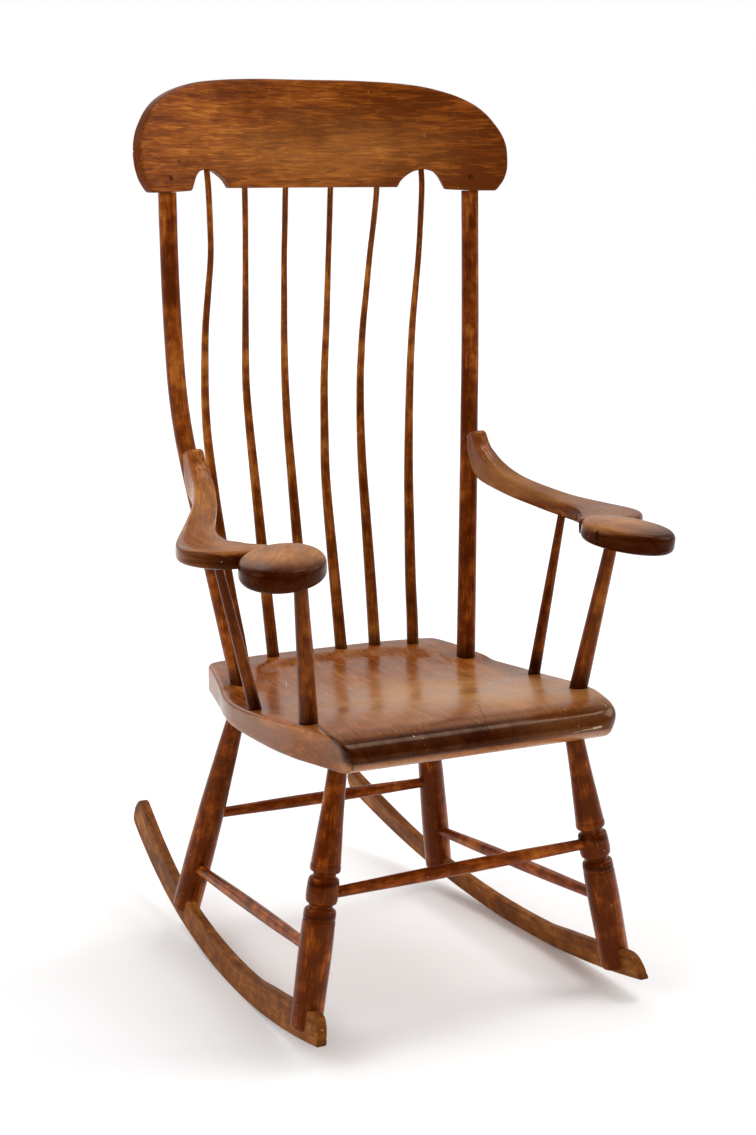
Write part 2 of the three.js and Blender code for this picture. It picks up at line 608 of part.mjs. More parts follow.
// Arm axis: down the front of the post, then outward and forward to the hand-hold
function armRoot(side) {
  const top = ARM_LEVEL + ARM_SWEEP;
  const places = postPlaces(side);
  let k = 1;
  while (places[k].z < top) k += 1;
  const below = places[k - 1];
  const behind = below.clone().lerp(places[k], (top - below.z) / (places[k].z - below.z));
  const setForward = (POST_HEAD_WIDTH + ARM_THICKNESS) / 2 - ARM_SCOOP;
  return new THREE.Vector3(behind.x, behind.y - setForward, ARM_LEVEL);
}
function armPlace([outward, forward, rise], side) {
  const root = armRoot(side);
  return new THREE.Vector3(root.x + side * outward * ARM_OUTWARD, root.y - forward * ARM_REACH,
    root.z + rise * ARM_SWEEP);
}
function paddleMiddle(side) {
  return armPlace(PADDLE_PLACE_SHARES, side);
}
function paddleSolid(side) {
  const halfLength = PADDLE_LENGTH / 2 - PADDLE_EDGE;
  const halfWidth = PADDLE_WIDTH / 2 - PADDLE_EDGE;
  const corners = [];
  for (let k = 0; k < PADDLE_SIDES; k += 1) {
    const angle = (2 * Math.PI * k) / PADDLE_SIDES;
    corners.push(new THREE.Vector2(Math.cos(angle) * halfLength, Math.sin(angle) * halfWidth));
  }
  const geometry = new THREE.ExtrudeGeometry(new THREE.Shape(corners), {
    depth: PADDLE_THICKNESS - 2 * PADDLE_EDGE,
    bevelThickness: PADDLE_EDGE,
    bevelSize: PADDLE_EDGE,
    bevelSegments: PADDLE_EDGE_STEPS,
  });
  const middle = paddleMiddle(side);
  geometry.translate(0, 0, PADDLE_EDGE - PADDLE_THICKNESS / 2);
  geometry.rotateZ(-side * Math.PI * PADDLE_TURN_SHARE);
  geometry.rotateX(Math.PI * PADDLE_DIP_SHARE);
  geometry.rotateY(side * Math.PI * PADDLE_CANT_SHARE);
  return solid(geometry.translate(middle.x, middle.y, middle.z));
}
function armBlank(side) {
  const places = ARM_LINE_SHARES.map((row) => armPlace(row, side));
  const curve = new THREE.CatmullRomCurve3(places, false, 'centripetal');
  const section = new THREE.Shape(ARM_SECTION_SHARES.map(([x, y]) => new THREE.Vector2(x / 2, y / 2)));
  const body = swept(section, curve, ARM_STEPS, (share) => (
    [ARM_WIDTH * between(ARM_WIDTH_SHARES, share), ARM_THICKNESS * between(ARM_THICKNESS_SHARES, share)]), 0);
  return body.add(paddleSolid(side));
}

// Tenon from the arm's rear end back into the post
function armTenon(side, grow) {
  const root = armRoot(side);
  const height = ARM_LEVEL + ARM_TENON_SHARE * ARM_SWEEP;
  const from = new THREE.Vector3(root.x, root.y - ARM_SOCKET / 2, height);
  const radius = ARM_TENON_WIDTH / 2 + grow;
  const to = from.clone().addScaledVector(yAxis, (ARM_SOCKET + ARM_THICKNESS) / 2 + ARM_TENON_LENGTH + grow);
  return turned(from, to, [[0, radius], [1, radius]], PEG_SIDES);
}

// Arm supports: a post under the hand-hold and a thinner spindle behind it
function supportLine(footShares, head, side) {
  const foot = onSeat(footShares, side);
  const base = new THREE.Vector3(foot.x, foot.y, sittingHeight(foot.y));
  return rooted([base, head], SOCKET_DEPTH);
}
function armPostLine(side) {
  const head = paddleMiddle(side);
  head.x -= side * ARM_POST_INSET_SHARE * PADDLE_LENGTH;
  head.z = ARM_LEVEL - ARM_THICKNESS / 2 + ARM_SOCKET;
  return supportLine(ARM_POST_FOOT_SHARES, head, side);
}
function armSpindleLine(side) {
  const head = armPlace(ARM_SPINDLE_HEAD_SHARES, side);
  head.z = ARM_LEVEL - ARM_THICKNESS / 2 + ARM_SOCKET;
  return supportLine(ARM_SPINDLE_FOOT_SHARES, head, side);
}
function supportSolid(line, footWidth, headWidth, sides, grow) {
  const [root, , head] = line;
  const reach = head.clone().sub(root).setLength(grow);
  const radii = [[0, footWidth / 2 + grow], [1, headWidth / 2 + grow]];
  return turned(root.clone().sub(reach), head.clone().add(reach), radii, sides);
}

// Cuts a row of solids out of one
function cut(body, cutters) {
  return cutters.reduce((left, cutter) => left.subtract(cutter), body);
}

const sides = [['left', -1], ['right', 1]];
const seatCutters = [];
const crestCutters = [];

// Spindles count from left to right
const spindleRow = [[2, -1], [1, -1], [0, -1], [0, 1], [1, 1], [2, 1]];
spindleRow.forEach(([order, side], k) => {
  addPiece(`back_spindle_${k + 1}`, spindleSolid(order, side, 0), spindleStain);
  const grown = spindleSolid(order, side, CLEARANCE);
  seatCutters.push(grown);
  crestCutters.push(grown);
});

const frontLegs = {};
const rearLegs = {};
for (const [name, side] of sides) {
  // Post, arm and arm supports
  const postGrown = postSolid(side, CLEARANCE);
  const armPost = (grow) => supportSolid(
    armPostLine(side), ARM_POST_FOOT_WIDTH, ARM_POST_HEAD_WIDTH, SUPPORT_SIDES, grow);
  const armSpindle = (grow) => supportSolid(
    armSpindleLine(side), ARM_SPINDLE_FOOT_WIDTH, ARM_SPINDLE_HEAD_WIDTH, SUPPORT_SIDES, grow);
  const pegGrown = crestPeg(side, CLEARANCE);
  addPiece(`back_post_${name}`, cut(postSolid(side, 0), [armTenon(side, CLEARANCE), pegGrown]), turnedStain);
  addPiece(`crest_peg_${name}`, crestPeg(side, 0), pegStain);
  const arm = cut(armBlank(side), [postGrown]).add(armTenon(side, 0));
  addPiece(`arm_${name}`, cut(arm, [armPost(CLEARANCE), armSpindle(CLEARANCE)]), armStain);
  addPiece(`arm_post_${name}`, armPost(0), turnedStain);
  addPiece(`arm_spindle_${name}`, armSpindle(0), turnedStain);
  seatCutters.push(postGrown, armPost(CLEARANCE), armSpindle(CLEARANCE));
  crestCutters.push(postGrown, pegGrown);

  // Legs and blade
  const frontLine = legLine(FRONT_LEG_HEAD_SHARES, FRONT_FOOT_SHARE, side);
  const rearLine = legLine(REAR_LEG_HEAD_SHARES, REAR_FOOT_SHARE, side);
  const frontLeg = (grow) => legSolid(frontLine, FRONT_LEG_SHARES, FRONT_LEG_WIDTH, FRONT_LEG_SIDES, grow);
  const rearLeg = (grow) => legSolid(rearLine, REAR_LEG_SHARES, REAR_LEG_WIDTH, REAR_LEG_SIDES, grow);
  const sideEnds = [
    legAt(frontLine, SIDE_STRETCHER_SHARES[0] * SEAT_UNDERSIDE),
    legAt(rearLine, SIDE_STRETCHER_SHARES[1] * SEAT_UNDERSIDE),
  ];
  const sideGrown = stretcherSolid(...sideEnds, CLEARANCE);
  const bladeGrown = bladeSolid(side, CLEARANCE);
  const frontPegGrown = footPeg(frontLine, FRONT_LEG_WIDTH, CLEARANCE);
  const rearPegGrown = footPeg(rearLine, REAR_LEG_WIDTH, CLEARANCE);
  frontLegs[name] = { line: frontLine, body: cut(frontLeg(0), [sideGrown, bladeGrown, frontPegGrown]) };
  rearLegs[name] = { line: rearLine, body: cut(rearLeg(0), [sideGrown, bladeGrown, rearPegGrown]) };
  seatCutters.push(frontLeg(CLEARANCE), rearLeg(CLEARANCE));
  addPiece(`rocker_${name}`, cut(bladeSolid(side, 0), [frontPegGrown, rearPegGrown]), bladeStain);
  addPiece(`side_stretcher_${name}`, stretcherSolid(...sideEnds, 0), turnedStain);
  addPiece(`front_foot_peg_${name}`, footPeg(frontLine, FRONT_LEG_WIDTH, 0), pegStain);
  addPiece(`rear_foot_peg_${name}`, footPeg(rearLine, REAR_LEG_WIDTH, 0), pegStain);
}

// Stretchers that tie the two sides together
function tie(legs, shares, label, legLabel) {
  const ends = [legs.left, legs.right].map(({ line }, k) => legAt(line, shares[k] * SEAT_UNDERSIDE));
  const grown = stretcherSolid(...ends, CLEARANCE);
  addPiece(label, stretcherSolid(...ends, 0), turnedStain);
  for (const [name] of sides) addPiece(`${legLabel}_${name}`, cut(legs[name].body, [grown]), turnedStain);
}
tie(frontLegs, FRONT_STRETCHER_SHARES, 'front_stretcher', 'front_leg');
tie(rearLegs, REAR_STRETCHER_SHARES, 'rear_stretcher', 'rear_leg');

addPiece('seat', cut(seatBlank(), seatCutters), seatStain);
addPiece('crest_rail', cut(crestBlank(), crestCutters), crestStain);

// The part's own origin: on the floor, under the middle of its box
const box = new THREE.Box3().setFromObject(chair);
const middle = box.getCenter(new THREE.Vector3());
chair.position.set(-middle.x, -middle.y, -box.min.z);

export default chair;
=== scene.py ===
"""Spindle-back rocking chair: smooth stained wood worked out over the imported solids, in metres, +Z up.

Points are worked out from the middle of the seat, as the chair's maker measures it, and moved into the
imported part's frame when a mesh is made. Tables hold shares of the sizes that stand beside them.
"""

import bpy
import numpy as np
from mathutils import Matrix, Vector


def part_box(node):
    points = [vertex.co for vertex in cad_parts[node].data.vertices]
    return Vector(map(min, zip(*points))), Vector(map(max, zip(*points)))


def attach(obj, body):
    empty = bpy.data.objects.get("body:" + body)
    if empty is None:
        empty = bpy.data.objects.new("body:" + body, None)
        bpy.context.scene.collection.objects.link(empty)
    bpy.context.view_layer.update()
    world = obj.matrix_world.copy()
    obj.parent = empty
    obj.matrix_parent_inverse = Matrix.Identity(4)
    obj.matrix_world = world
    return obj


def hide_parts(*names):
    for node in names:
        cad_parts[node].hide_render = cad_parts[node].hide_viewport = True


bl_info = {
    "name": "Spindle-back rocking chair",
    "version": (1, 0, 0),
    "blender": (4, 5, 0),
    "location": "3D View > Sidebar > Rocking chair",
    "description": "Builds the stained wooden pieces of a spindle-back rocking chair",
    "category": "Add Mesh",
}

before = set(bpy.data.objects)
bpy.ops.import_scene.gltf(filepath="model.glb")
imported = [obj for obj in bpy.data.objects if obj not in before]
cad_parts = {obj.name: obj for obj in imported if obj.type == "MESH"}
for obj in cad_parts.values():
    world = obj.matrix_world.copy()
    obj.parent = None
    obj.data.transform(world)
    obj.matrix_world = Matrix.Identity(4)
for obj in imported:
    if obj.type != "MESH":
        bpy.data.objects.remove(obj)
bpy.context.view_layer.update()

# Seat plank
SEAT_UNDERSIDE = 0.329
SEAT_THICKNESS = 0.046
SEAT_HALF = 0.208
SEAT_FRONT = 0.222
SEAT_REAR = 0.236
DECK_RISE = 0.038
DECK_COVE = 0.02
DECK_COVE_SHARE = 0.25
SEAT_TOP_EDGE = 0.005
SEAT_TOP_CORNERS = (0.0035, 0.013)
SEAT_SOLE_EDGE = 0.006
SEAT_SOLE_FADE = 0.6
SEAT_LEAST_EDGE = 0.06
SEAT_EDGE_LIMITS = (0.56, 0.4)
SEAT_UNDERCUT_SHARES = (0.07, 0.085)
SEAT_UNDERCUT_SPAN = (0.25, 0.95)
SEAT_ROLL_SPAN = (0.93, 0.995)
SEAT_END_SPAN = (0.66, 0.84)
SEAT_CORNER_SPAN = (0.45, 0.9)
SEAT_RING_SCALE = 215
SEAT_RIM_RINGS = [0, 0.15, 0.5, 1.1, 1.9, 3, 4.3, 5.8, 7.5, 9.4, 11.5, 13.8, 16.3, 19, 22]

SEAT_CORNERS = (
    [(0, -1), (0.74, -1), (0.82, -0.997), (0.851, -0.985), (0.868, -0.95), (0.884, -0.88), (0.904, -0.8),
     (0.93, -0.7)],
    [(0, -1), (0.72, -1), (0.82, -0.992), (0.878, -0.965), (0.912, -0.915), (0.933, -0.84), (0.95, -0.74),
     (0.962, -0.65)],
)
SEAT_PLAN = [
    (0.972, -0.51), (0.988, -0.266), (1, 0), (0.995, 0.16), (0.962, 0.35), (0.918, 0.496), (0.868, 0.68),
    (0.835, 0.8), (0.812, 0.885), (0.785, 0.92), (0.74, 0.938), (0.56, 0.965), (0.3, 0.99), (0, 1),
]
SEAT_ROLL = [
    (-1, 0.52), (-0.992, 0.64), (-0.973, 0.75), (-0.943, 0.845), (-0.9, 0.92), (-0.84, 0.972), (-0.7, 1),
    (-0.51, 0.946), (-0.266, 0.83), (0, 0.7), (0.16, 0.65), (0.35, 0.625), (0.6, 0.64), (0.8, 0.67),
    (1, 0.67),
]
SEAT_SOLE = [(-1, 0.44), (-0.997, 0.38), (-0.99, 0.34), (-0.95, 0.15), (-0.9, 0.03), (-0.86, 0), (1, 0)]
DECK_EDGE = [
    (0, 0.845), (0.2, 0.835), (0.36, 0.815), (0.48, 0.775), (0.565, 0.72), (0.615, 0.635), (0.65, 0.53),
    (0.7, 0.44), (0.79, 0.415), (0.9, 0.47), (1, 0.5),
]
DECK_ROLL = [(0, 0.8), (0.38, 0.8), (0.5, 0.88), (0.68, 0.965), (0.8, 1), (0.96, 1), (1, 0.93)]

# Posts, spindles and crest rail
BACK_TOP = 0.969
POST_SPREAD = 0.0505
POST_LEAN = 0.091
POST_FOOT_WIDTH = 0.025
POST_HEAD_WIDTH = 0.0225
SPINDLE_FOOT_WIDTH = 0.0165
SPINDLE_HEAD_WIDTH = 0.0075
SPINDLE_BEND = 0.042
SOCKET_DEPTH = 0.012
CREST_HALF = 0.258
CREST_HEIGHT = 0.141
CREST_THICKNESS = 0.0145
CREST_EDGE = 0.003
CREST_BOW = 0.069
CREST_LEAN = 0.02
CREST_SOCKET = 0.018
CREST_SET = 0.0035
CREST_TIP = 0.07
POST_FLAT_SHARE = 0.2
POST_FLAT_SPAN = (-0.046, -0.012)
PEG_WIDTH = 0.0062
PEG_TAPER = [(0, 0.8), (0.12, 1), (0.88, 1), (1, 0.8)]
PEG_ROUGHER = 0.26
CREST_PEG_LENGTH = 0.006
CREST_PEG_SHARE = 0.35

POST_FOOT = (0.78, 0.502)
POST_LINE = [
    (0, 0, 0), (0.25, 0.416, 0.393), (0.44, 0.735, 0.695), (0.52, 0.845, 0.805), (0.6, 0.92, 0.872),
    (0.7, 0.965, 0.918), (0.8, 0.99, 0.955), (0.9, 1, 0.98), (1, 1, 1),
]
SPINDLE_FEET = [(0.119, 0.911), (0.359, 0.909), (0.598, 0.841)]
SPINDLE_HEADS = [0.124, 0.364, 0.588]
SPINDLE_TAPER = [(0, 1), (0.1667, 0.85), (0.3333, 0.62), (0.5, 0.4), (0.6667, 0.2), (0.8333, 0.04), (1, 0)]
SPINDLE_BENDS = [
    [
        (0, 0, 0), (0.1, -0.02, 0.21), (0.2, -0.04, 0.43), (0.3, -0.06, 0.64), (0.377, -0.064, 0.767),
        (0.47, -0.03, 0.83), (0.56, -0.012, 0.825), (0.62, 0.005, 0.75), (0.675, 0.02, 0.657),
        (0.75, 0.022, 0.52), (0.83, 0.024, 0.38), (0.9, 0.015, 0.23), (0.966, 0.007, 0.1), (1, 0, 0),
    ],
    [
        (0, 0, 0), (0.1, -0.01, 0.21), (0.2, -0.03, 0.42), (0.3, -0.055, 0.63), (0.384, -0.07, 0.81),
        (0.48, -0.065, 0.955), (0.566, -0.055, 0.995), (0.62, -0.06, 0.92), (0.68, -0.064, 0.8),
        (0.755, -0.05, 0.59), (0.832, -0.036, 0.38), (0.9, -0.01, 0.17), (0.963, 0.01, 0.02), (1, 0, 0),
    ],
    [
        (0, 0, 0), (0.05, 0.03, 0.12), (0.123, 0.08, 0.36), (0.273, 0.17, 0.71), (0.346, 0.2, 0.84),
        (0.45, 0.24, 0.94), (0.515, 0.235, 0.92), (0.588, 0.2, 0.81), (0.662, 0.16, 0.635),
        (0.734, 0.1, 0.345), (0.806, 0.04, 0.055), (0.877, 0.025, -0.07), (0.948, 0.02, -0.12), (1, 0, 0),
    ],
]
CREST_LOWER = [
    (0, 0.032), (0.46, 0.032), (0.475, 0.075), (0.51, 0.135), (0.555, 0.18), (0.6, 0.195), (0.64, 0.18),
    (0.668, 0.13), (0.685, 0.065), (0.7, 0.012), (0.931, 0), (0.962, 0.055), (0.985, 0.13), (0.998, 0.23),
    (1, 0.349),
]
CREST_UPPER = [
    (0, 1), (0.2, 1), (0.395, 0.99), (0.575, 0.962), (0.727, 0.9), (0.85, 0.8), (0.91, 0.71),
    (0.955, 0.6), (0.99, 0.47), (1, 0.351),
]
PEG_RISE = 0.77
TENON_LENGTH = 0.022

# Arms and what carries them
ARM_LEVEL = 0.568
ARM_SWEEP = 0.088
ARM_THICKNESS = 0.0205
ARM_WIDTH = 0.08
ARM_OUTWARD = 0.07
ARM_REACH = 0.325
ARM_SCOOP = 0.004
ARM_SOCKET = 0.012
ARM_WINDOW = 9
ARM_START = 0.014
ARM_START_SHARE = 0.35
ARM_POWERS = (0.34, 0.4)
KNOB_LENGTH = 0.115
KNOB_WIDTH = 0.097
KNOB_THICKNESS = 0.0285
KNOB_DROP = 0.0012
KNOB_TURN = 0.278
KNOB_DIP = 0.036
KNOB_CANT = 0.025
KNOB_SHOULDER = 0.0095
KNOB_SOLE = 0.0075
KNOB_CROWN = 0.003
ARM_POST_WIDTHS = (0.0228, 0.0152)
ARM_SPINDLE_WIDTHS = (0.016, 0.010)

ARM_LINE = [
    (-0.01, 0.009, 0.975), (-0.01, 0.026, 0.8), (0, 0.054, 0.575), (0.03, 0.123, 0.44),
    (0.13, 0.194, 0.33), (0.24, 0.252, 0.25), (0.47, 0.345, 0.15), (0.69, 0.437, 0.065),
    (0.86, 0.532, 0.019), (0.97, 0.631, -0.011), (0.94, 0.711, -0.011), (0.74, 0.775, -0.011),
    (0.46, 0.812, -0.006), (0.13, 0.868, 0),
]
ARM_WIDTHS = [
    (0, 0.28), (0.115, 0.3), (0.183, 0.32), (0.255, 0.35), (0.317, 0.38), (0.42, 0.42), (0.518, 0.49),
    (0.615, 0.63), (0.708, 0.84), (0.782, 1), (0.853, 0.99), (0.918, 0.72), (1, 0.5),
]
ARM_THICKNESSES = [
    (0, 0.95), (0.05, 1.3), (0.115, 2.05), (0.183, 1.7), (0.255, 1.32), (0.317, 1.15), (0.42, 1.07),
    (0.518, 1.05), (0.615, 1.07), (0.782, 1.1), (0.853, 1.1), (1, 1.0),
]
KNOB_PLACE = (0.357, 1.025, 0)
ARM_SPINDLE_HEAD = (0.564, 0.491, 0)
ARM_POST_INSET = 0.177
ARM_POST_FOOT = (0.874, -0.587)
ARM_SPINDLE_FOOT = (0.934, -0.018)

# Legs, stretchers and blades
FRONT_LEG_WIDTH = 0.0393
REAR_LEG_WIDTH = 0.0372
LEG_SOCKET = 0.012
FOOT_LIFT = 0.010
STRETCHER_WIDTH = 0.0165
STRETCHER_END_WIDTH = 0.013
BLADE_RADIUS = 1.35
BLADE_CENTRE = 1.34982
BLADE_DEPTH = 0.029
BLADE_FRONT_DEPTH = 0.034
BLADE_REAR_DEPTH = 0.036
BLADE_THICKNESS = 0.013
BLADE_EDGE = 0.0022
BLADE_SPREAD = 0.206
BLADE_FRONT = 0.238
BLADE_REAR = 0.5
BLADE_CONTACT = 0.033
BLADE_NOSE = 0.04
BLADE_OUTSET = 0.003
BLADE_TOE = 0.047
BLADE_LEAN = 0.21

FRONT_LEG = [
    (0, 0.283), (0.08, 0.298), (0.2, 0.34), (0.3, 0.393), (0.388, 0.44), (0.393, 0.444), (0.3955, 0.431),
    (0.399, 0.444), (0.402, 0.452), (0.415, 0.459), (0.425, 0.438), (0.4315, 0.35), (0.437, 0.338),
    (0.442, 0.346), (0.447, 0.41), (0.4525, 0.448), (0.475, 0.473), (0.506, 0.483), (0.53, 0.471),
    (0.539, 0.448), (0.546, 0.37), (0.551, 0.354), (0.556, 0.366), (0.5605, 0.43), (0.567, 0.468),
    (0.578, 0.482), (0.592, 0.484), (0.5955, 0.482), (0.599, 0.47), (0.6025, 0.484), (0.61, 0.49),
    (0.72, 0.5), (0.85, 0.485), (0.992, 0.462), (1, 0.43),
]
FRONT_LEG_HEAD = (0.749, -0.709)
FRONT_FOOT = -0.833
REAR_LEG = [
    (0, 0.27), (0.13, 0.31), (0.26, 0.365), (0.378, 0.41), (0.537, 0.463), (0.654, 0.481), (0.733, 0.495),
    (0.85, 0.5), (0.992, 0.49), (1, 0.46),
]
REAR_LEG_HEAD = (0.624, 0.771)
REAR_FOOT = 1.052
FOOT_PEG_RISE = 0.75
FOOT_PEG_SHARE = 0.94
FRONT_STRETCHER = (0.547, 0.57)
REAR_STRETCHER = (0.49, 0.49)
SIDE_STRETCHER = (0.35, 0.26)
SWELL = [(0, 0), (0.143, 0.35), (0.286, 0.8), (0.43, 1), (0.57, 1), (0.714, 0.8), (0.857, 0.35), (1, 0)]
BLADE_TAIL_LOW = [(-0.4, 0), (-0.2, 0.05), (-0.06, 0.2), (0, 0.42)]
BLADE_TAIL_HIGH = [(-0.45, 1), (-0.22, 0.93), (-0.07, 0.76), (0, 0.5)]
BLADE_NOSE_HIGH = [(0, 0.2), (0.05, 0.5), (0.14, 0.74), (0.28, 0.9), (0.5, 0.98), (0.8, 1), (1, 1)]
BLADE_TAIL = 0.02
BLADE_END_EASE = 1.8
BLADE_FRONT_SWELL = [(-1, 1), (-0.8, 1), (-0.5, 0.7), (-0.25, 0), (1, 0)]
BLADE_REAR_SWELL = [(-1, 0), (0.45, 0), (0.7, 0.6), (0.9, 1), (1, 1)]

# How finely a piece is drawn: points along and round it
SPLINE_STEPS = 40
SEAT_STEPS = 181
DECK_EDGE_STEPS = 441
ROD_RINGS = 110
POST_SIDES = 32
SPINDLE_SIDES = 20
ARM_RINGS = 130
ARM_SIDES = 56
KNOB_SIDES = 72
SUPPORT_COUNTS = (40, 28)
STRETCHER_COUNTS = (60, 24)
PEG_COUNTS = (12, 24)
FRONT_LEG_RINGS = 420
REAR_LEG_RINGS = 160
LEG_SIDES = 36
CREST_COLUMN = 30
BLADE_COLUMN = 18

# Cracks, scratches, chips and a painted highlight: each row is a line width and places, two numbers meaning
# on the seat's top
LYING, STANDING, FACING = (1, 1, 0.3), (1, 1, 1), (1, 0.3, 1)
SEAT_LINES = (
    ("dark", LYING, [
        (0.0024, (-0.1785, -0.149), (-0.181, -0.17), (-0.182, -0.185), (-0.181, -0.2), (-0.178, -0.212),
         (-0.1725, -0.2205, 0.352), (-0.169, -0.2205, 0.343), (-0.165, -0.212, 0.335)),
        (0.0009, (0.03, -0.15), (0.0175, -0.182), (0.0085, -0.207), (0.0074, -0.2165),
         (0.008, -0.2215, 0.345)),
        (0.0006, (-0.0308, -0.2155), (-0.029, -0.2215, 0.35)),
        (0.0005, (0.128, -0.112), (0.146, -0.123)),
    ]),
    ("pale", LYING, [
        (0.0008, (0.1735, -0.203), (0.174, -0.206)),
        # painted highlight along the rounded top edge of the seat's left side
        (0.0006, (-0.1855, -0.168), (-0.1865, -0.185), (-0.185, -0.199)),
        (0.0012, (-0.0876, -0.2115), (-0.0875, -0.212)),
        (0.0008, (0.118, -0.2), (0.120, -0.203)),
        (0.0013, (-0.094, 0.146), (-0.0935, 0.1455)),
        (0.0005, (-0.096, 0.124), (-0.112, 0.089)),
        (0.0004, (-0.102, 0.125), (-0.106, 0.115)),
    ]),
    ("dark", STANDING, [
        (0.0012, (-0.199, -0.13, 0.3463), (-0.1975, -0.1375, 0.3443)),
        (0.0004, (-0.2046, -0.0713, 0.3549), (-0.2025, -0.0983, 0.3535)),
    ]),
    ("pale", STANDING, [
        (0.0017, (0.146, -0.2216, 0.3495), (0.157, -0.2212, 0.35)),
        (0.0006, (0.119, -0.2218, 0.348), (0.144, -0.2216, 0.3487)),
        (0.0009, (0.1375, -0.2216, 0.3575), (0.1378, -0.2216, 0.359)),
        (0.0008, (0.125, -0.2216, 0.3545), (0.1252, -0.2216, 0.356)),
        (0.0010, (-0.2068, 0.0385, 0.3595), (-0.2072, 0.0365, 0.3575)),
        (0.0009, (-0.2078, 0.0195, 0.3595), (-0.2078, 0.0165, 0.3575)),
    ]),
)
CREST_LINES = (
    ("dark", FACING, [
        (0.0022, (0.0959, 0.236, 1.0075), (0.0965, 0.236, 1.005)),
        (0.0016, (-0.0193, 0.2425, 0.9815), (-0.014, 0.2425, 0.9815)),
        (0.0015, (-0.196, 0.212, 1.008), (-0.195, 0.212, 1.006)),
        (0.0018, (0.045, 0.243, 1.03), (0.046, 0.243, 1.028)),
    ]),
)
ARM_LINES = (
    ("dark", LYING, [
        (0.0009, (-0.2323, -0.1238, 0.5848), (-0.228, -0.134, 0.5845)),
        (0.0008, (-0.228, -0.134, 0.5845), (-0.222, -0.1419, 0.5835)),
        (0.0030, (0.2701, -0.0605, 0.5786), (0.2702, -0.0615, 0.5786)),
        (0.0030, (0.2844, -0.0679, 0.5786), (0.2845, -0.0689, 0.5786)),
        (0.0040, (0.1778, -0.1712, 0.5695), (0.179, -0.172, 0.566)),
        (0.0013, (-0.223, -0.090, 0.58), (-0.206, -0.089, 0.58)),
        (0.0011, (-0.206, -0.089, 0.58), (-0.209, -0.106, 0.58)),
        (0.0007, (-0.209, -0.106, 0.58), (-0.212, -0.121, 0.58)),
    ]),
)

# Wood: noise scales across and along the grain, shares of the noises in the tone, and colours
FIGURE = (46, 46, 4.5)
FIBRE = (620, 620, 22)
PORES = (1500, 1500, 70)
STREAK = (240, 240, 34)
MOTTLE = (55, 55, 55)
CHIPS = (260, 260, 260)
WOBBLE = 60.0
WOBBLE_REACH = (0.003, 0.003, 0.003)
TURNED_MIX = (0.22, 0.26, 0.14, 0.13, 0.25)
BOARD_MIX = (0.18, 0.24, 0.24, 0.28, 0.06)
MIDDLE_TONE = 0.53
TONE_SPAN = 0.15
DARK_SHARES = (0.4, 0.28, 0.14)
LIGHT_SHARES = (1.8, 2.6, 4.5)
PORE_SHARE = 0.5
PORE_SPAN = (0.6, 0.72)
PORE_STRENGTH = 0.3
CHIP_SPAN = (0.775, 0.8)
CHIP_STRENGTH = 0.6
INK_STRENGTH = 0.85
FIBRE_DEPTH = 0.3
BUMP = 0.12
BUMP_REACH = 0.0006
GLOSSIER, DULLER = 0.05, 0.07
# Grime and painted shade share one mask: how much it lowers the roughness and dulls the gloss
DIRT_AND_SHADE_SMOOTHER = 0.1
DIRT_AND_SHADE_DULLS = 0.88
# Share of the dark tone painted for grime and for painted shade
DIRT_AND_SHADE_SHARES = (0.22, 0.12, 0.1)
CRACK_SHARE = 0.06
SCRATCH_AND_HIGHLIGHT_COLOUR = (0.52, 0.4, 0.27)
CHIP_COLOUR = (0.42, 0.27, 0.14)
VARNISH_TINT = (1, 0.6, 0.3, 1)

# The place of the seat's middle in the part's frame, and the two sides
ORIGIN = Vector((0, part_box("seat")[0].y + SEAT_FRONT, 0))
SIDES = (("left", -1), ("right", 1))

# Camera and image
FOCAL_PIXELS = 2050
IMAGE_HEIGHT = 1135
SENSOR = 36
CAMERA_PLACE = (-1.12841, -2.19926, 1.00284)
CAMERA_TURN = -26.59
CAMERA_PITCH = 11.123

# Floor tints, the room's darker side, and lamps by direction, share of strength and spread
FLOOR_TINTS = ((0.945, 0.95, 0.95), (0.93, 0.935, 0.932))
WHITE = (1, 1, 1, 1)
DARK_SIDE = (-0.45, -0.88, -0.1)
DARK_SIDE_SPAN = (-0.15, 0.8)
LAMPS = (("left_lamp", (-1.0, 0.15, 0.7), 1.2, 0.6), ("right_lamp", (1.0, -0.15, 0.65), 1.2, 0.6),
         ("rear_lamp", (0.0, 1.0, 0.6), 0.4, 0.6), ("top_lamp", (0.415, 0.03, 0.91), 0.8, 0.34))


def flow(table, at):
    """Smooth value through a table's rows: between two rows a cubic whose end slopes are the weighted
    harmonic mean of the neighbouring slopes, or zero where these differ in sign, so it never overshoots."""
    x, y = np.asarray(table, float).T
    at = np.clip(np.asarray(at, float), x[0], x[-1])
    step = np.diff(x)
    slope = np.diff(y) / step
    lean = np.zeros(len(x))
    near, far = 2 * step[1:] + step[:-1], step[1:] + 2 * step[:-1]
    same = slope[:-1] * slope[1:] > 0
    before, after = np.where(same, slope[:-1], 1), np.where(same, slope[1:], 1)
    lean[1:-1] = np.where(same, (near + far) / (near / before + far / after), 0)
    lean[0], lean[-1] = slope[0], slope[-1]
    k = np.clip(np.searchsorted(x, at, side="right") - 1, 0, len(step) - 1)
    return cubic(y[k], y[k + 1], step[k] * lean[k], step[k] * lean[k + 1], (at - x[k]) / step[k])


def cubic(start, end, leave, enter, t):
    """From start to end by an S, three squares of t less two cubes, bent to the slopes at both ends."""
    return start + (end - start) * t * t * (3 - 2 * t) + (leave * (1 - t) - enter * t) * t * (1 - t)


def ease(low, high, value):
    """0 at low, 1 at high, and a smooth S between them. low may be above high, and then it falls with
    the value."""
    return cubic(0, 1, 0, 0, np.clip((value - low) / (high - low), 0, 1))


def unit(vectors):
    """Vectors made one long."""
    return vectors / np.linalg.norm(vectors, axis=-1, keepdims=True)


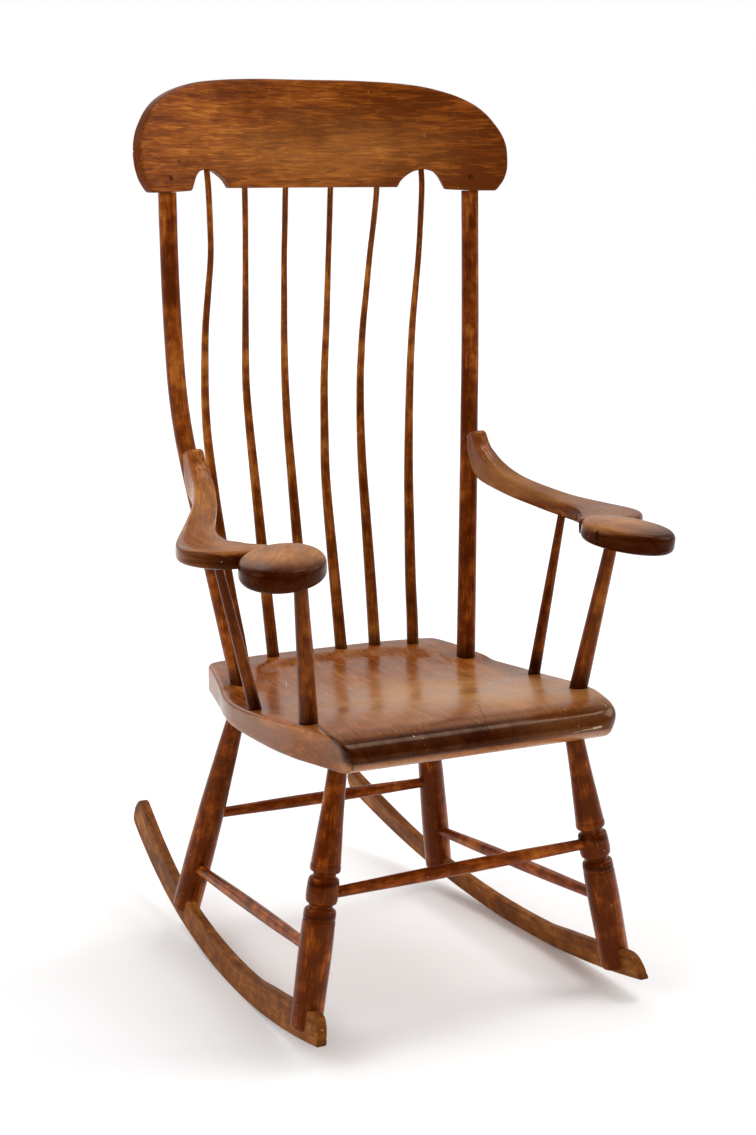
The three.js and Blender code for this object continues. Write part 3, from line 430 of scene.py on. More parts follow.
def walk(points):
    """Length along a line from its first point to each point."""
    return np.concatenate([[0], np.cumsum(np.linalg.norm(np.diff(points, axis=0), axis=1))])


def nearest(x, y, line):
    """Distance from places to the nearest point of a flat line."""
    x, y = np.asarray(x)[..., None], np.asarray(y)[..., None]
    return np.hypot(x - line[:, 0], y - line[:, 1]).min(axis=-1)


def circle(count):
    """Angles round a circle."""
    return np.arange(count) * (2 * np.pi / count)


def bent_line(places, count=ROD_RINGS):
    """Points at equal steps on a centripetal spline through the places: each span is a cubic whose end
    slopes come from its neighbours, timed by the square roots of the spans."""
    p = np.asarray(places, float)
    p = np.vstack([2 * p[0] - p[1], p, 2 * p[-1] - p[-2]])
    gap = np.sqrt(np.linalg.norm(np.diff(p, axis=0), axis=1))[:, None]
    before, here, after = gap[:-2], gap[1:-1], gap[2:]
    a, b, c, d = p[:-3], p[1:-2], p[2:-1], p[3:]
    leave = ((b - a) / before - (c - a) / (before + here) + (c - b) / here) * here
    enter = ((c - b) / here - (d - b) / (here + after) + (d - c) / after) * here
    t = np.linspace(0, 1, SPLINE_STEPS, endpoint=False)[None, :, None]
    dense = cubic(*(v[:, None, :] for v in (b, c, leave, enter)), t)
    dense = np.vstack([dense.reshape(-1, 3), p[-2]])
    walked = walk(dense)
    even = np.linspace(0, walked[-1], count)
    line = np.stack([np.interp(even, walked, dense[:, k]) for k in range(3)], axis=1)
    return line, unit(np.gradient(line, axis=0)), even


def carried(line, ahead, walked, across, over):
    """Rings of a section carried along a line, and the wood's own coordinates, the grain running along
    the line: across runs along the x axis turned square to the line, or the y axis where the line itself
    runs along x, and over runs square to both. across and over are (stations, points) offsets."""
    axis = 1 if np.abs(ahead[0, 0]) > 0.9 else 0
    side = unit(np.eye(3)[axis] - ahead[:, axis:axis + 1] * ahead)
    face = np.cross(ahead, side)
    rings = line[:, None] + side[:, None] * across[..., None] + face[:, None] * over[..., None]
    return rings, np.stack([across, over, np.broadcast_to(walked[:, None], across.shape)], axis=-1)


def rounded(line, ahead, walked, widths, sides):
    """A round rod along a line: every ring is a circle square to it, its width from a table of length
    shares."""
    width = flow(widths, walked / walked[-1])[:, None]
    angle = circle(sides)
    return carried(line, ahead, walked, np.cos(angle) * width / 2, np.sin(angle) * width / 2)


def turning(start, end, widths, stations, sides):
    """A straight turned rod: rings at even steps from start to end."""
    start, end = np.asarray(start, float), np.asarray(end, float)
    share = np.linspace(0, 1, stations)
    line = start + (end - start) * share[:, None]
    ahead = np.broadcast_to(unit(end - start), line.shape)
    return rounded(line, ahead, share * np.linalg.norm(end - start), widths, sides)


def board(along, low, high, columns, thickness, edge, place):
    """A board with rounded edges: columns of points between its lower and upper outline. Half the
    thickness at a point is the full half less a quarter circle of the edge's radius, by the point's
    distance to the outline. place turns (along, height, offset) into points."""
    share = (1 - np.cos(np.pi * np.linspace(0, 1, columns))) / 2
    height = low[:, None] + (high - low)[:, None] * share
    run = np.broadcast_to(along[:, None], height.shape)
    outline = np.vstack([np.stack([along, low], 1), np.stack([along, high], 1)])
    inset = np.clip(nearest(run, height, outline), 0, edge)
    half = thickness / 2 - edge + np.sqrt(edge**2 - (edge - inset) ** 2)
    run = np.concatenate([run, run[:, ::-1]], axis=1)
    height = np.concatenate([height, height[:, ::-1]], axis=1)
    offset = np.concatenate([-half, half[:, ::-1]], axis=1)
    return place(run, height, offset), np.stack([height, offset, run], axis=-1)


def on_seat(share, side):
    """A place on the seat's plan given in shares of its half width and of its reach."""
    return side * share[0] * SEAT_HALF, share[1] * (SEAT_FRONT if share[1] < 0 else SEAT_REAR)


def above_sole(table, thickness, y):
    """Height over the underside: the share in a table of reach shares, times a thickness."""
    reach = np.where(y < 0, y / SEAT_FRONT, y / SEAT_REAR)
    return SEAT_UNDERSIDE + thickness * flow(table, reach)


def sitting_height(y):
    """Height of the sitting surface, from the roll table."""
    return above_sole(SEAT_ROLL, SEAT_THICKNESS, y)


def sole_height(y):
    """Height of the plank's underside, which turns up to the nose of the front roll."""
    return above_sole(SEAT_SOLE, SEAT_THICKNESS, y)


def deck_height(y):
    """Height of the deck behind the sitter, from the deck table."""
    return above_sole(DECK_ROLL, DECK_RISE, y)


def seat_height(x, y):
    """Height of the plank's top: the sitting surface, raised to the deck by an S across the cove, on the
    signed distance to the nearest point of the deck's edge line."""
    across = np.linspace(-1.1, 1.1, DECK_EDGE_STEPS)
    line = np.stack([across * SEAT_HALF, SEAT_REAR * flow(DECK_EDGE, np.abs(across))], axis=1)
    away = nearest(x, y, line)
    behind = y > SEAT_REAR * flow(DECK_EDGE, np.abs(x) / SEAT_HALF)
    raised = ease(-DECK_COVE, DECK_COVE * DECK_COVE_SHARE, np.where(behind, away, -away))
    low = sitting_height(y)
    return low + np.maximum(deck_height(y) - low, 0) * raised


def seat_half(side):
    """One half of the seat's plan, from the middle of its front to the middle of its back, at even steps.
    The left front corner is sharper than the right."""
    rows = np.array([on_seat(row, side) for row in SEAT_CORNERS[side > 0] + SEAT_PLAN])
    walked = walk(rows)
    at = np.linspace(0, walked[-1], SEAT_STEPS)
    return np.stack([flow(np.stack([walked, rows[:, k]], 1), at) for k in range(2)], axis=1)


def seat_surface():
    """The seat plank: rings of the plan drawn in to its middle, over the top, down the side and back
    under. Near the rim the height drops by a quarter circle of the edge's radius, which changes toward
    the front corners and fades where the front roll takes over. Toward the front the sides slope in: a
    point moves in by the undercut share times how far it lies below the top, cubed on the right."""
    plan = np.vstack([seat_half(1), seat_half(-1)[-2:0:-1]])
    tangent = unit(np.roll(plan, -1, 0) - np.roll(plan, 1, 0))
    distance = np.linalg.norm(plan, axis=1)
    square = np.abs(plan[:, 0] * tangent[:, 1] - plan[:, 1] * tangent[:, 0]) / distance
    forward = -plan[:, 1] / SEAT_FRONT
    outward = np.abs(plan[:, 0]) / SEAT_HALF
    rim = np.array(SEAT_RIM_RINGS) / SEAT_RING_SCALE
    top = 1 - np.concatenate([rim, np.linspace(25, 211, 60) / SEAT_RING_SCALE])[::-1]
    sole = 1 - np.concatenate([rim, np.linspace(27, 211, 14) / SEAT_RING_SCALE])
    kept = np.maximum(1 - ease(*SEAT_ROLL_SPAN, forward), ease(*SEAT_END_SPAN, outward))
    body = SEAT_LEAST_EDGE + (1 - SEAT_LEAST_EDGE) * kept
    corner = ease(*SEAT_CORNER_SPAN, forward)
    depth = seat_height(*plan.T) - sole_height(plan[:, 1])

    def face(shares, edge, height, turn):
        """Rings of one face: the plan shrunk by the shares, and dropped or raised near its rim."""
        x, y = shares[:, None] * plan[:, 0], shares[:, None] * plan[:, 1]
        inset = np.minimum((1 - shares)[:, None] * distance * square, edge)
        drop = edge - np.sqrt(edge**2 - (edge - inset) ** 2)
        return np.stack([x, y, height(x, y) - turn * drop], axis=-1)

    corners = np.where(plan[:, 0] < 0, *SEAT_TOP_CORNERS)
    edge = (SEAT_TOP_EDGE + (corners - SEAT_TOP_EDGE) * corner) * body
    upper = face(top, np.minimum(edge, SEAT_EDGE_LIMITS[0] * depth), seat_height, 1)
    edge = SEAT_SOLE_EDGE * body * (1 - SEAT_SOLE_FADE * corner)
    lower = face(sole, np.minimum(edge, SEAT_EDGE_LIMITS[1] * depth), lambda x, y: sole_height(y), -1)
    wall = [upper[-1] + (lower[0] - upper[-1]) * t for t in (0.2, 0.4, 0.6, 0.8)]
    rings = np.concatenate([upper, wall, lower])
    sunk = 1 - (rings[..., 2] - SEAT_UNDERSIDE) / SEAT_THICKNESS
    left, right = SEAT_UNDERCUT_SHARES
    undercut = np.where(rings[..., 0] < 0, left * sunk, right * sunk**3)
    rings[..., 0] *= 1 - undercut * ease(*SEAT_UNDERCUT_SPAN, -rings[..., 1] / SEAT_FRONT)
    return rings, rings[..., [0, 2, 1]]


def post_places(side):
    """Axis of a post: from its foot on the deck, out and back by the post table, up to the crest."""
    x, y = on_seat(POST_FOOT, side)
    foot = deck_height(y)
    return [(x + side * out * POST_SPREAD, y + back * POST_LEAN, foot + up * (BACK_TOP - foot))
            for up, out, back in POST_LINE]


POST_HEAD = post_places(1)[-1]


def rooted(places):
    """The same places with one more a socket's depth below the first, in line with the first two."""
    first, second = np.asarray(places[0], float), np.asarray(places[1], float)
    return [first + unit(first - second) * SOCKET_DEPTH, *places]


def crest_reach(x, z):
    """Middle of the crest board, fore and aft: a parabola across, plus its lean with height."""
    bow = (POST_HEAD[0] ** 2 - x**2) / CREST_HALF**2
    return POST_HEAD[1] - CREST_SET + CREST_BOW * bow + CREST_LEAN * (z - BACK_TOP) / CREST_HEIGHT


def post_surface(side):
    """A post, round but flattened in front just under the crest, where it meets the board."""
    widths = [(0, POST_FOOT_WIDTH), (1, POST_HEAD_WIDTH)]
    rings, grain = rounded(*bent_line(rooted(post_places(side))), widths, POST_SIDES)
    middle = rings.mean(axis=1, keepdims=True)
    flat = POST_FLAT_SHARE * ease(*POST_FLAT_SPAN, middle[..., 2:] - BACK_TOP)
    limit = middle[..., 1:2] - POST_HEAD_WIDTH * (0.5 - flat)
    rings[..., 1:2] = np.maximum(rings[..., 1:2], limit)
    return rings, grain


def spindle_surface(order, side):
    """A back spindle: a straight line from deck to crest, moved by its bend table, thick below."""
    x, y = on_seat(SPINDLE_FEET[order], side)
    base = np.array([x, y, deck_height(y)])
    head_x = side * SPINDLE_HEADS[order] * CREST_HALF
    top = BACK_TOP + CREST_HEIGHT * flow(CREST_LOWER, SPINDLE_HEADS[order]) + CREST_SOCKET
    head = np.array([head_x, crest_reach(head_x, top), top])
    places = [base + (head - base) * up + np.array([side * out, back, 0]) * SPINDLE_BEND
              for up, out, back in SPINDLE_BENDS[order]]
    widths = between(SPINDLE_TAPER, SPINDLE_HEAD_WIDTH, SPINDLE_FOOT_WIDTH)
    return rounded(*bent_line(rooted(places)), widths, SPINDLE_SIDES)


def between(table, thin, thick):
    """A table of shares as widths, from the thin one at 0 to the thick one at 1."""
    return [(at, thin + (thick - thin) * share) for at, share in table]


def tipped(table, share):
    """flow on the square root of what is left to the board's end, so that the outline turns a round tip."""
    rows = np.array(table[::-1], float)
    rows[:, 0] = np.sqrt(1 - rows[:, 0])
    return flow(rows, np.sqrt(1 - np.abs(share)))


def crest_surface():
    """The crest rail: columns between its lower and upper outline on the bowed, leaning board, closer
    together toward the ends, by the square of what is left."""
    inner = np.linspace(0, 1 - CREST_TIP, 120)
    outer = 1 - CREST_TIP * (1 - np.linspace(0, 1, 30)[1:]) ** 2
    half = np.concatenate([inner, outer])
    share = np.concatenate([-half[:0:-1], half])
    low = BACK_TOP + CREST_HEIGHT * tipped(CREST_LOWER, share)
    high = BACK_TOP + CREST_HEIGHT * tipped(CREST_UPPER, share)

    def place(run, height, offset):
        """A point of the board: offset runs square to the bow."""
        slope = 2 * CREST_BOW * run / CREST_HALF**2
        tilt = 1 / np.sqrt(1 + slope**2)
        return np.stack([run + offset * slope * tilt, crest_reach(run, height) + offset * tilt, height], -1)

    return board(share * CREST_HALF, low, high, CREST_COLUMN, CREST_THICKNESS, CREST_EDGE, place)


def arm_root(side):
    """Where the arm's axis starts: in front of the post, at the height of the arm's top."""
    places = np.array(post_places(side))
    top = ARM_LEVEL + ARM_SWEEP
    x, y = (np.interp(top, places[:, 2], places[:, k]) for k in range(2))
    return np.array([x, y - (POST_HEAD_WIDTH + ARM_THICKNESS) / 2 + ARM_SCOOP, ARM_LEVEL])


def arm_place(row, side):
    """A place by the arm, given as shares outward, forward and up from its root."""
    out, forward, rise = row
    return arm_root(side) + np.array([side * out * ARM_OUTWARD, -forward * ARM_REACH, rise * ARM_SWEEP])


def arm_surface(side):
    """The arm: a squarish section with rounded corners, a power curve of cosine and sine, carried from
    the post outward and forward into the hand-hold. Line, width and thickness come from their tables and
    are then averaged over a short bell-shaped window, so that they run on without a kink. The first
    stretch is drawn in along a quarter of an ellipse."""
    line, _, walked = bent_line([arm_place(row, side) for row in ARM_LINE], ARM_RINGS)
    share = walked / walked[-1]
    table = np.column_stack([line, flow(ARM_WIDTHS, share), flow(ARM_THICKNESSES, share)])
    padded = np.vstack([2 * table[0] - table[ARM_WINDOW:0:-1], table,
                        2 * table[-1] - table[-2:-ARM_WINDOW - 2:-1]])
    window = np.hanning(2 * ARM_WINDOW + 3)[1:-1]
    window /= window.sum()
    table = np.stack([np.convolve(column, window, "valid") for column in padded.T], axis=1)
    line, ahead = table[:, :3], unit(np.gradient(table[:, :3], axis=0))
    close = np.sqrt(1 - (1 - ease(0, ARM_START, share)[:, None]) ** 2 * ARM_START_SHARE)
    angle = circle(ARM_SIDES)
    across, over = (
        np.sign(wave) * np.abs(wave) ** power * full * table[:, k:k + 1] / 2 * close
        for wave, power, full, k in ((np.cos(angle), ARM_POWERS[0], ARM_WIDTH, 3),
                                     (np.sin(angle), ARM_POWERS[1], ARM_THICKNESS, 4)))
    return carried(line, ahead, walked, across, over)


def knob_surface(side):
    """The oval hand-hold: rings from the middle of its crowned top, round a soft shoulder, down the side
    and under. A ring is an ellipse; the shoulder and the lower edge are quarter circles."""
    half = KNOB_THICKNESS / 2
    edge = half - KNOB_CROWN
    quarter = np.linspace(0, np.pi / 2, 9)
    bend = quarter[1:]
    disc = np.linspace(0.04, 1, 14)
    fall = (KNOB_SHOULDER + KNOB_SOLE - KNOB_THICKNESS + KNOB_CROWN) * np.array([0.25, 0.5, 0.75])
    bands = (
        (disc, KNOB_SHOULDER, half - KNOB_CROWN * disc**2),
        (1, KNOB_SHOULDER * (1 - np.sin(bend)), edge - KNOB_SHOULDER * (1 - np.cos(bend))),
        (1, 0, edge - KNOB_SHOULDER + fall),
        (1, KNOB_SOLE * (1 - np.cos(quarter)), KNOB_SOLE * (1 - np.sin(quarter)) - half),
        (disc[-2:3:-1], KNOB_SOLE, -half),
    )
    bands = np.concatenate([np.stack(np.broadcast_arrays(*band)) for band in bands], axis=1)
    share, inset, height = bands[..., None]
    angle = circle(KNOB_SIDES)
    x = share * (KNOB_LENGTH / 2 - inset) * np.cos(angle)
    y = share * (KNOB_WIDTH / 2 - inset) * np.sin(angle)
    local = np.stack([x, y, np.broadcast_to(height - KNOB_DROP, x.shape)], axis=-1)
    turn = (Matrix.Rotation(side * np.pi * KNOB_CANT, 3, "Y") @ Matrix.Rotation(np.pi * KNOB_DIP, 3, "X")
            @ Matrix.Rotation(-side * np.pi * KNOB_TURN, 3, "Z"))
    return local @ np.array(turn).T + arm_place(KNOB_PLACE, side), local[..., [1, 2, 0]]


def support_surface(foot, head, widths, side):
    """An arm support: a straight tapering rod from the seat up into the arm."""
    x, y = on_seat(foot, side)
    head = (*head[:2], ARM_LEVEL - ARM_THICKNESS / 2 + ARM_SOCKET)
    root = rooted([(x, y, sitting_height(y)), head])[0]
    return turning(root, head, list(enumerate(widths)), *SUPPORT_COUNTS)


def on_blade(arc, rise):
    """A place on a blade, fore and aft and up: an arc length round the blade's circle, and a rise."""
    turn = arc / BLADE_RADIUS
    radius = BLADE_RADIUS - rise
    return BLADE_CONTACT + radius * np.sin(turn), BLADE_CENTRE - radius * np.cos(turn)


def blade_offset(reach, height):
    """Distance of a blade from the middle plane: it toes in to the back and leans in with height."""
    return BLADE_SPREAD - BLADE_TOE * reach - BLADE_LEAN * (height - BLADE_DEPTH)


def blade_surface(side):
    """A rocker: columns between the sole and the top edge along the blade's arc, rounded at both ends,
    deeper toward the ends. The columns draw closer to an end by a power of what is left."""
    front, rear = -BLADE_FRONT - BLADE_CONTACT, BLADE_REAR - BLADE_CONTACT
    left = (1 - np.linspace(0, 1, 26)) ** BLADE_END_EASE
    inner = np.linspace(front + BLADE_NOSE, rear - BLADE_TAIL, 120)[1:-1]
    along = np.concatenate([front + BLADE_NOSE * left[::-1], inner, rear - BLADE_TAIL * left])
    along = np.unique(np.round(along, 6))
    high = BLADE_DEPTH
    high += (BLADE_FRONT_DEPTH - BLADE_DEPTH) * flow(BLADE_FRONT_SWELL, along / BLADE_FRONT)
    high += (BLADE_REAR_DEPTH - BLADE_DEPTH) * flow(BLADE_REAR_SWELL, along / BLADE_REAR)
    back = (along - rear) / BLADE_REAR_DEPTH
    high *= flow(BLADE_TAIL_HIGH, back) * flow(BLADE_NOSE_HIGH, (along - front) / BLADE_NOSE)
    low = BLADE_REAR_DEPTH * flow(BLADE_TAIL_LOW, back)

    def place(run, height, offset):
        """A point of the blade: offset runs straight across the chair."""
        y, z = on_blade(run, height)
        return np.stack([side * blade_offset(y, z) + offset, y, np.maximum(z, 0)], axis=-1)

    return board(along, low, high, BLADE_COLUMN, BLADE_THICKNESS, BLADE_EDGE, place)


def leg_line(head, foot_share, side):
    """Axis of a leg: from its socket under the seat down to the blade."""
    x, y = on_seat(head, side)
    foot_y = on_seat((0, foot_share), side)[1]
    sole_y, sole_z = on_blade(foot_y - BLADE_CONTACT, FOOT_LIFT)
    foot_x = side * (blade_offset(sole_y, sole_z) - BLADE_OUTSET)
    return np.array([x, y, SEAT_UNDERSIDE + LEG_SOCKET]), np.array([foot_x, sole_y, sole_z])


def leg_at(line, height):
    """Place on a leg's axis at a height."""
    head, foot = line
    return head + (foot - head) * (head[2] - height) / (head[2] - foot[2])


def stretcher_surface(lines, shares):
    """A stretcher: a turned rod that swells from its ends to its middle, from one leg's axis to
    another's, at shares of the seat's height."""
    ends = [leg_at(line, share * SEAT_UNDERSIDE) for line, share in zip(lines, shares)]
    return turning(*ends, between(SWELL, STRETCHER_END_WIDTH, STRETCHER_WIDTH), *STRETCHER_COUNTS)


def peg_surface(middle, direction, length):
    """A peg with a slightly rounded end on both sides."""
    way = unit(np.asarray(direction, float)) * length / 2
    return turning(middle - way, middle + way, between(PEG_TAPER, 0, PEG_WIDTH), *PEG_COUNTS)


def skin(name, rings, grain, rules):
    """A closed mesh over rings of points: squares between neighbouring rings and a fan onto the middle of
    the first and of the last ring. The faces are turned round if the mesh's volume comes out negative.
    grain holds the wood's own coordinates, and the rules give each point its share of wear and painted
    highlight, of grime and painted shade, and of depth of stain and painted shade."""
    count, around = rings.shape[:2]
    points = np.vstack([rings.reshape(-1, 3), rings[[0, -1]].mean(axis=1)])
    index = np.arange(count * around).reshape(count, around)
    low, high = index[:-1], index[1:]
    squares = np.stack([low, high, np.roll(high, -1, 1), np.roll(low, -1, 1)], axis=-1).reshape(-1, 4)
    pole = np.full(around, count * around)
    first = np.stack([pole, index[0], np.roll(index[0], -1)], axis=-1)
    last = np.stack([pole + 1, np.roll(index[-1], -1), index[-1]], axis=-1)
    triangles = np.vstack([squares[:, :3], squares[:, [0, 2, 3]], first, last])
    a, b, c = (points[triangles[:, k]] for k in range(3))
    turn = -1 if (a * np.cross(b, c)).sum() < 0 else 1
    faces = [face for block in (squares, first, last) for face in block[:, ::turn].tolist()]
    mesh = bpy.data.meshes.new(name)
    mesh.from_pydata((points + np.array(ORIGIN)).tolist(), [], faces)
    mesh.polygons.foreach_set("use_smooth", np.ones(len(faces), bool))
    fibre = np.vstack([grain.reshape(-1, 3), grain[[0, -1]].mean(axis=1)])
    mesh.attributes.new("grain", "FLOAT_VECTOR", "POINT").data.foreach_set("vector", fibre.ravel())
    for label, rule in rules.items():
        mesh.attributes.new(label, "FLOAT", "POINT").data.foreach_set("value", rule(points, fibre))
    mesh.update()
    return mesh


def add_piece(node, surface, material, slot, name="", **rules):
    """Makes a piece from rings and grain, rides it on the root and lets it stand for a CAD node, after
    which it is called where it has no name of its own."""
    name = name or f"{node}_wood"
    mesh = skin(name, *surface, rules)
    piece = bpy.data.objects.new(name, mesh)
    bpy.context.scene.collection.objects.link(piece)
    mesh.materials.append(material)
    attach(piece, "root")
    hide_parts(node)


def fading(axis, start, end, share):
    """A rule for a piece's points: a share times an S along one axis, 0 at start and 1 at end."""
    return lambda points, fibre: share * ease(start, end, points[:, axis])


def bell(value, middle, width):
    """A bell curve's exponent: minus the square of the distance from its middle in widths."""
    return -((value - middle) / width) ** 2


class Net:
    """The nodes of a material or a world, added one by one, each input a value or a node's output."""

    def __init__(self, owner):
        """Starts with an empty tree."""
        owner.use_nodes = True
        self.owner, self.tree = owner, owner.node_tree
        self.tree.nodes.clear()

    def add(self, kind, inputs, **settings):
        """A node with its settings and inputs."""
        node = self.tree.nodes.new("ShaderNode" + kind)
        for key, value in settings.items():
            setattr(node, key, value)
        for key, value in inputs.items():
            self.feed(node.inputs[key], value)
        return node

    def feed(self, socket, value):
        """Links a node's output to an input, or sets the input's own value."""
        if isinstance(value, bpy.types.NodeSocket):
            self.tree.links.new(value, socket)
        else:
            socket.default_value = value

    def math(self, operation, first, second, clamp=False):
        """Two numbers put together."""
        return self.add("Math", {0: first, 1: second}, operation=operation, use_clamp=clamp).outputs[0]

    def product(self, first, second):
        """One number times another."""
        return self.math("MULTIPLY", first, second)

    def vector(self, operation, inputs, output="Vector"):
        """Vectors put together."""
        return self.add("VectorMath", inputs, operation=operation).outputs[output]

    def noise(self, place, scale, detail, roughness=0.5, distortion=0.0):
        """Smooth noise on coordinates stretched by a scale along each axis."""
        stretched = self.add("Mapping", {"Vector": place, "Scale": scale}).outputs[0]
        return self.add("TexNoise", {
            "Vector": stretched, "Scale": 1.0, "Detail": detail, "Roughness": roughness,
            "Distortion": distortion}).outputs["Fac"]

    def range(self, value, low, high, to_low=0.0, to_high=1.0):
        """A value brought from one range to another by an S."""
        return self.add("MapRange", {
            "Value": value, "From Min": low, "From Max": high, "To Min": to_low, "To Max": to_high},
            interpolation_type="SMOOTHSTEP").outputs[0]

    def blend(self, share, first, second):
        """A share of the second colour over the first."""
        node = self.add("Mix", {"Factor": share}, data_type="RGBA")
        for key, value in (("A", first), ("B", second)):
            socket = [s for s in node.inputs if s.name == key and s.type == "RGBA"][0]
            self.feed(socket, value if isinstance(value, bpy.types.NodeSocket) else (*value, 1))
        return [s for s in node.outputs if s.type == "RGBA"][0]

    def attribute(self, name, output="Fac"):
        """A value that the mesh carries at its points."""
        return self.add("Attribute", {}, attribute_name=name).outputs[output]

    def line(self, place, start, end, width, flat):
        """1 on the line from start to end, falling to 0 at the width: the length from a point to the
        nearest place on the line, found by its share along the line."""
        start = (Vector(start) + ORIGIN) * Vector(flat)
        way = (Vector(end) + ORIGIN) * Vector(flat) - start
        off = self.vector("SUBTRACT", {0: place, 1: start})
        share = self.vector("DOT_PRODUCT", {0: off, 1: way / way.length_squared}, "Value")
        held = self.add("Clamp", {"Value": share}).outputs[0]
        step = self.vector("SCALE", {0: way, "Scale": held})
        length = self.vector("LENGTH", {0: self.vector("SUBTRACT", {0: off, 1: step})}, "Value")
        return self.range(length, width * 0.4, width, 1.0, 0.0)


def strokes(rows):
    """Start, end and width of each stretch of the drawn lines, on the seat's top where only x and y are
    given."""
    for width, *places in rows:
        places = [(*place, float(seat_height(*np.array(place)))) if len(place) == 2 else place
                  for place in places]
        yield from ((start, end, width) for start, end in zip(places, places[1:]))


def shaded(colour, shares):
    """A colour with each of its parts times a share."""
    return tuple(part * share for part, share in zip(colour, shares))


def wood(name, kind, seed, lift=1.0, cloud=9.0, figure=FIGURE, rougher=0.0, shine=0.2, lines=(),
         contrast=1.3, mix=TURNED_MIX):
    """Stained wood: cloudy stain, long figure and fine fibre in the wood's own coordinates, dark pores,
    worn places with painted highlights, grimy places and painted shade, and deeper stain with painted
    shade, all from the mesh's attributes, and cracks, scratches and a painted highlight drawn as lines.
    Each entry of lines has an ink, a flatness and its rows: the flatness shrinks the axis across the
    entry of lines has an ink, a flatness and its rows: the flatness shrinks the axis across the
    surface, so that a line keeps its width where the surface lies off it."""
    look = bpy.context.scene.rocking_chair_finish
    colour = shaded(getattr(look, kind), (lift,) * 3)
    dark, light = shaded(colour, DARK_SHARES), shaded(colour, LIGHT_SHARES)
    gloss = look.gloss + rougher
    net = Net(bpy.data.materials.new(name))
    grain = net.add("Mapping", {"Vector": net.attribute("grain", "Vector"),
                                "Location": (seed * 1.7, seed * 0.9, seed * 2.3)}).outputs[0]
    place = net.add("TexCoord", {}).outputs["Object"]
    wide = net.noise(place, (cloud, cloud, cloud), 3, 0.55)
    long = net.noise(grain, figure, 4, 0.6, 0.5)
    fibre = net.noise(grain, FIBRE, 3, 0.6)
    pores = net.noise(grain, PORES, 2, 0.5)
    streak = net.noise(grain, STREAK, 2, 0.55, 0.8)
    mottle = net.noise(place, MOTTLE, 4, 0.55)
    tone = 0.0
    for part, share in zip((wide, long, fibre, streak, mottle), mix):
        tone = net.math("ADD", net.product(part, share), tone)
    tone = net.range(tone, MIDDLE_TONE - TONE_SPAN / contrast, MIDDLE_TONE + TONE_SPAN / contrast)
    # Deeper stain, and painted shade toward the crest's right end, darken the tone
    tone = net.math("SUBTRACT", tone, net.attribute("deep"), clamp=True)
    ramp = net.add("ValToRGB", {"Fac": tone})
    stops = ramp.color_ramp.elements
    stops[0].color, stops[1].color = (*dark, 1), (*light, 1)
    stops.new(0.5).color = (*colour, 1)
    speck = net.product(net.range(pores, *PORE_SPAN), PORE_STRENGTH)
    colour = net.blend(speck, ramp.outputs["Color"], shaded(dark, (PORE_SHARE,) * 3))
    # Rubbed wear, and a painted highlight on the crest's middle and on the tops of the arms and hand-holds
    rubbed_and_highlight = net.product(net.attribute("wear"), net.range(wide, 0.3, 0.6, 0.55, 1.0))
    colour = net.blend(rubbed_and_highlight, colour, look.worn_and_highlight)
    # Grime, and painted shade at the feet of the rods, in the leg grooves, under the seat and on the sides
    # of arms and hand-holds, pulls the colour to a dark tone
    dirt_and_shade = net.product(net.attribute("grime"), net.range(long, 0.25, 0.7, 0.86, 1.0))
    colour = net.blend(dirt_and_shade, colour, shaded(dark, DIRT_AND_SHADE_SHARES))
    chips = net.range(net.noise(place, CHIPS, 1, 0.4), *CHIP_SPAN)
    colour = net.blend(net.product(chips, CHIP_STRENGTH), colour, CHIP_COLOUR)
    wobble = net.add("TexNoise", {"Vector": place, "Scale": WOBBLE, "Detail": 2.0}).outputs["Color"]
    wobble = net.vector("SUBTRACT", {0: wobble, 1: (0.5, 0.5, 0.5)})
    moved = net.vector("MULTIPLY_ADD", {0: wobble, 1: WOBBLE_REACH, 2: place})
    depth = net.product(fibre, FIBRE_DEPTH)
    # Pale ink draws the scratches and the painted highlight on the seat's left edge
    inks = {"dark": shaded(dark, (CRACK_SHARE,) * 3), "pale": SCRATCH_AND_HIGHLIGHT_COLOUR}
    for ink, flat, rows in lines:
        pressed = net.vector("MULTIPLY", {0: moved, 1: flat})
        for start, end, width in strokes(rows):
            drawn = net.line(pressed, start, end, width, flat)
            colour = net.blend(net.product(drawn, INK_STRENGTH), colour, inks[ink])
            if ink == "dark":
                depth = net.math("SUBTRACT", depth, drawn)
    rough = net.range(wide, 0.3, 0.7, gloss - GLOSSIER, gloss + DULLER)
    rough = net.math("SUBTRACT", rough, net.product(dirt_and_shade, DIRT_AND_SHADE_SMOOTHER))
    bump = net.add("Bump", {"Height": depth, "Strength": BUMP, "Distance": BUMP_REACH}).outputs[0]
    dull = net.product(net.product(dirt_and_shade, dirt_and_shade), -DIRT_AND_SHADE_DULLS * shine)
    shader = net.add("BsdfPrincipled", {
        "Base Color": colour, "Roughness": rough, "Normal": bump,
        "Specular IOR Level": net.math("ADD", dull, shine), "Specular Tint": VARNISH_TINT})
    net.add("OutputMaterial", {"Surface": shader.outputs[0]})
    return net.owner


def stain(name, description, code):
    """A stain colour as a user's setting: its six hexadecimal digits made the linear numbers that shaders
    take."""
    parts = np.array([int(code[k:k + 2], 16) for k in (0, 2, 4)]) / 255
    parts = np.where(parts <= 0.04045, parts / 12.92, ((parts + 0.055) / 1.055) ** 2.4)
    return bpy.props.FloatVectorProperty(
        name=name, description=description, subtype="COLOR", default=parts.tolist())


def number(name, description, default, **more):
    """A number from 0 up as a user's setting."""
    return bpy.props.FloatProperty(name=name, description=description, default=default, min=0, **more)


def share_of(name, description, default):
    """A share from none to all as a user's setting."""
    return number(name, description, default, max=1, subtype="FACTOR")


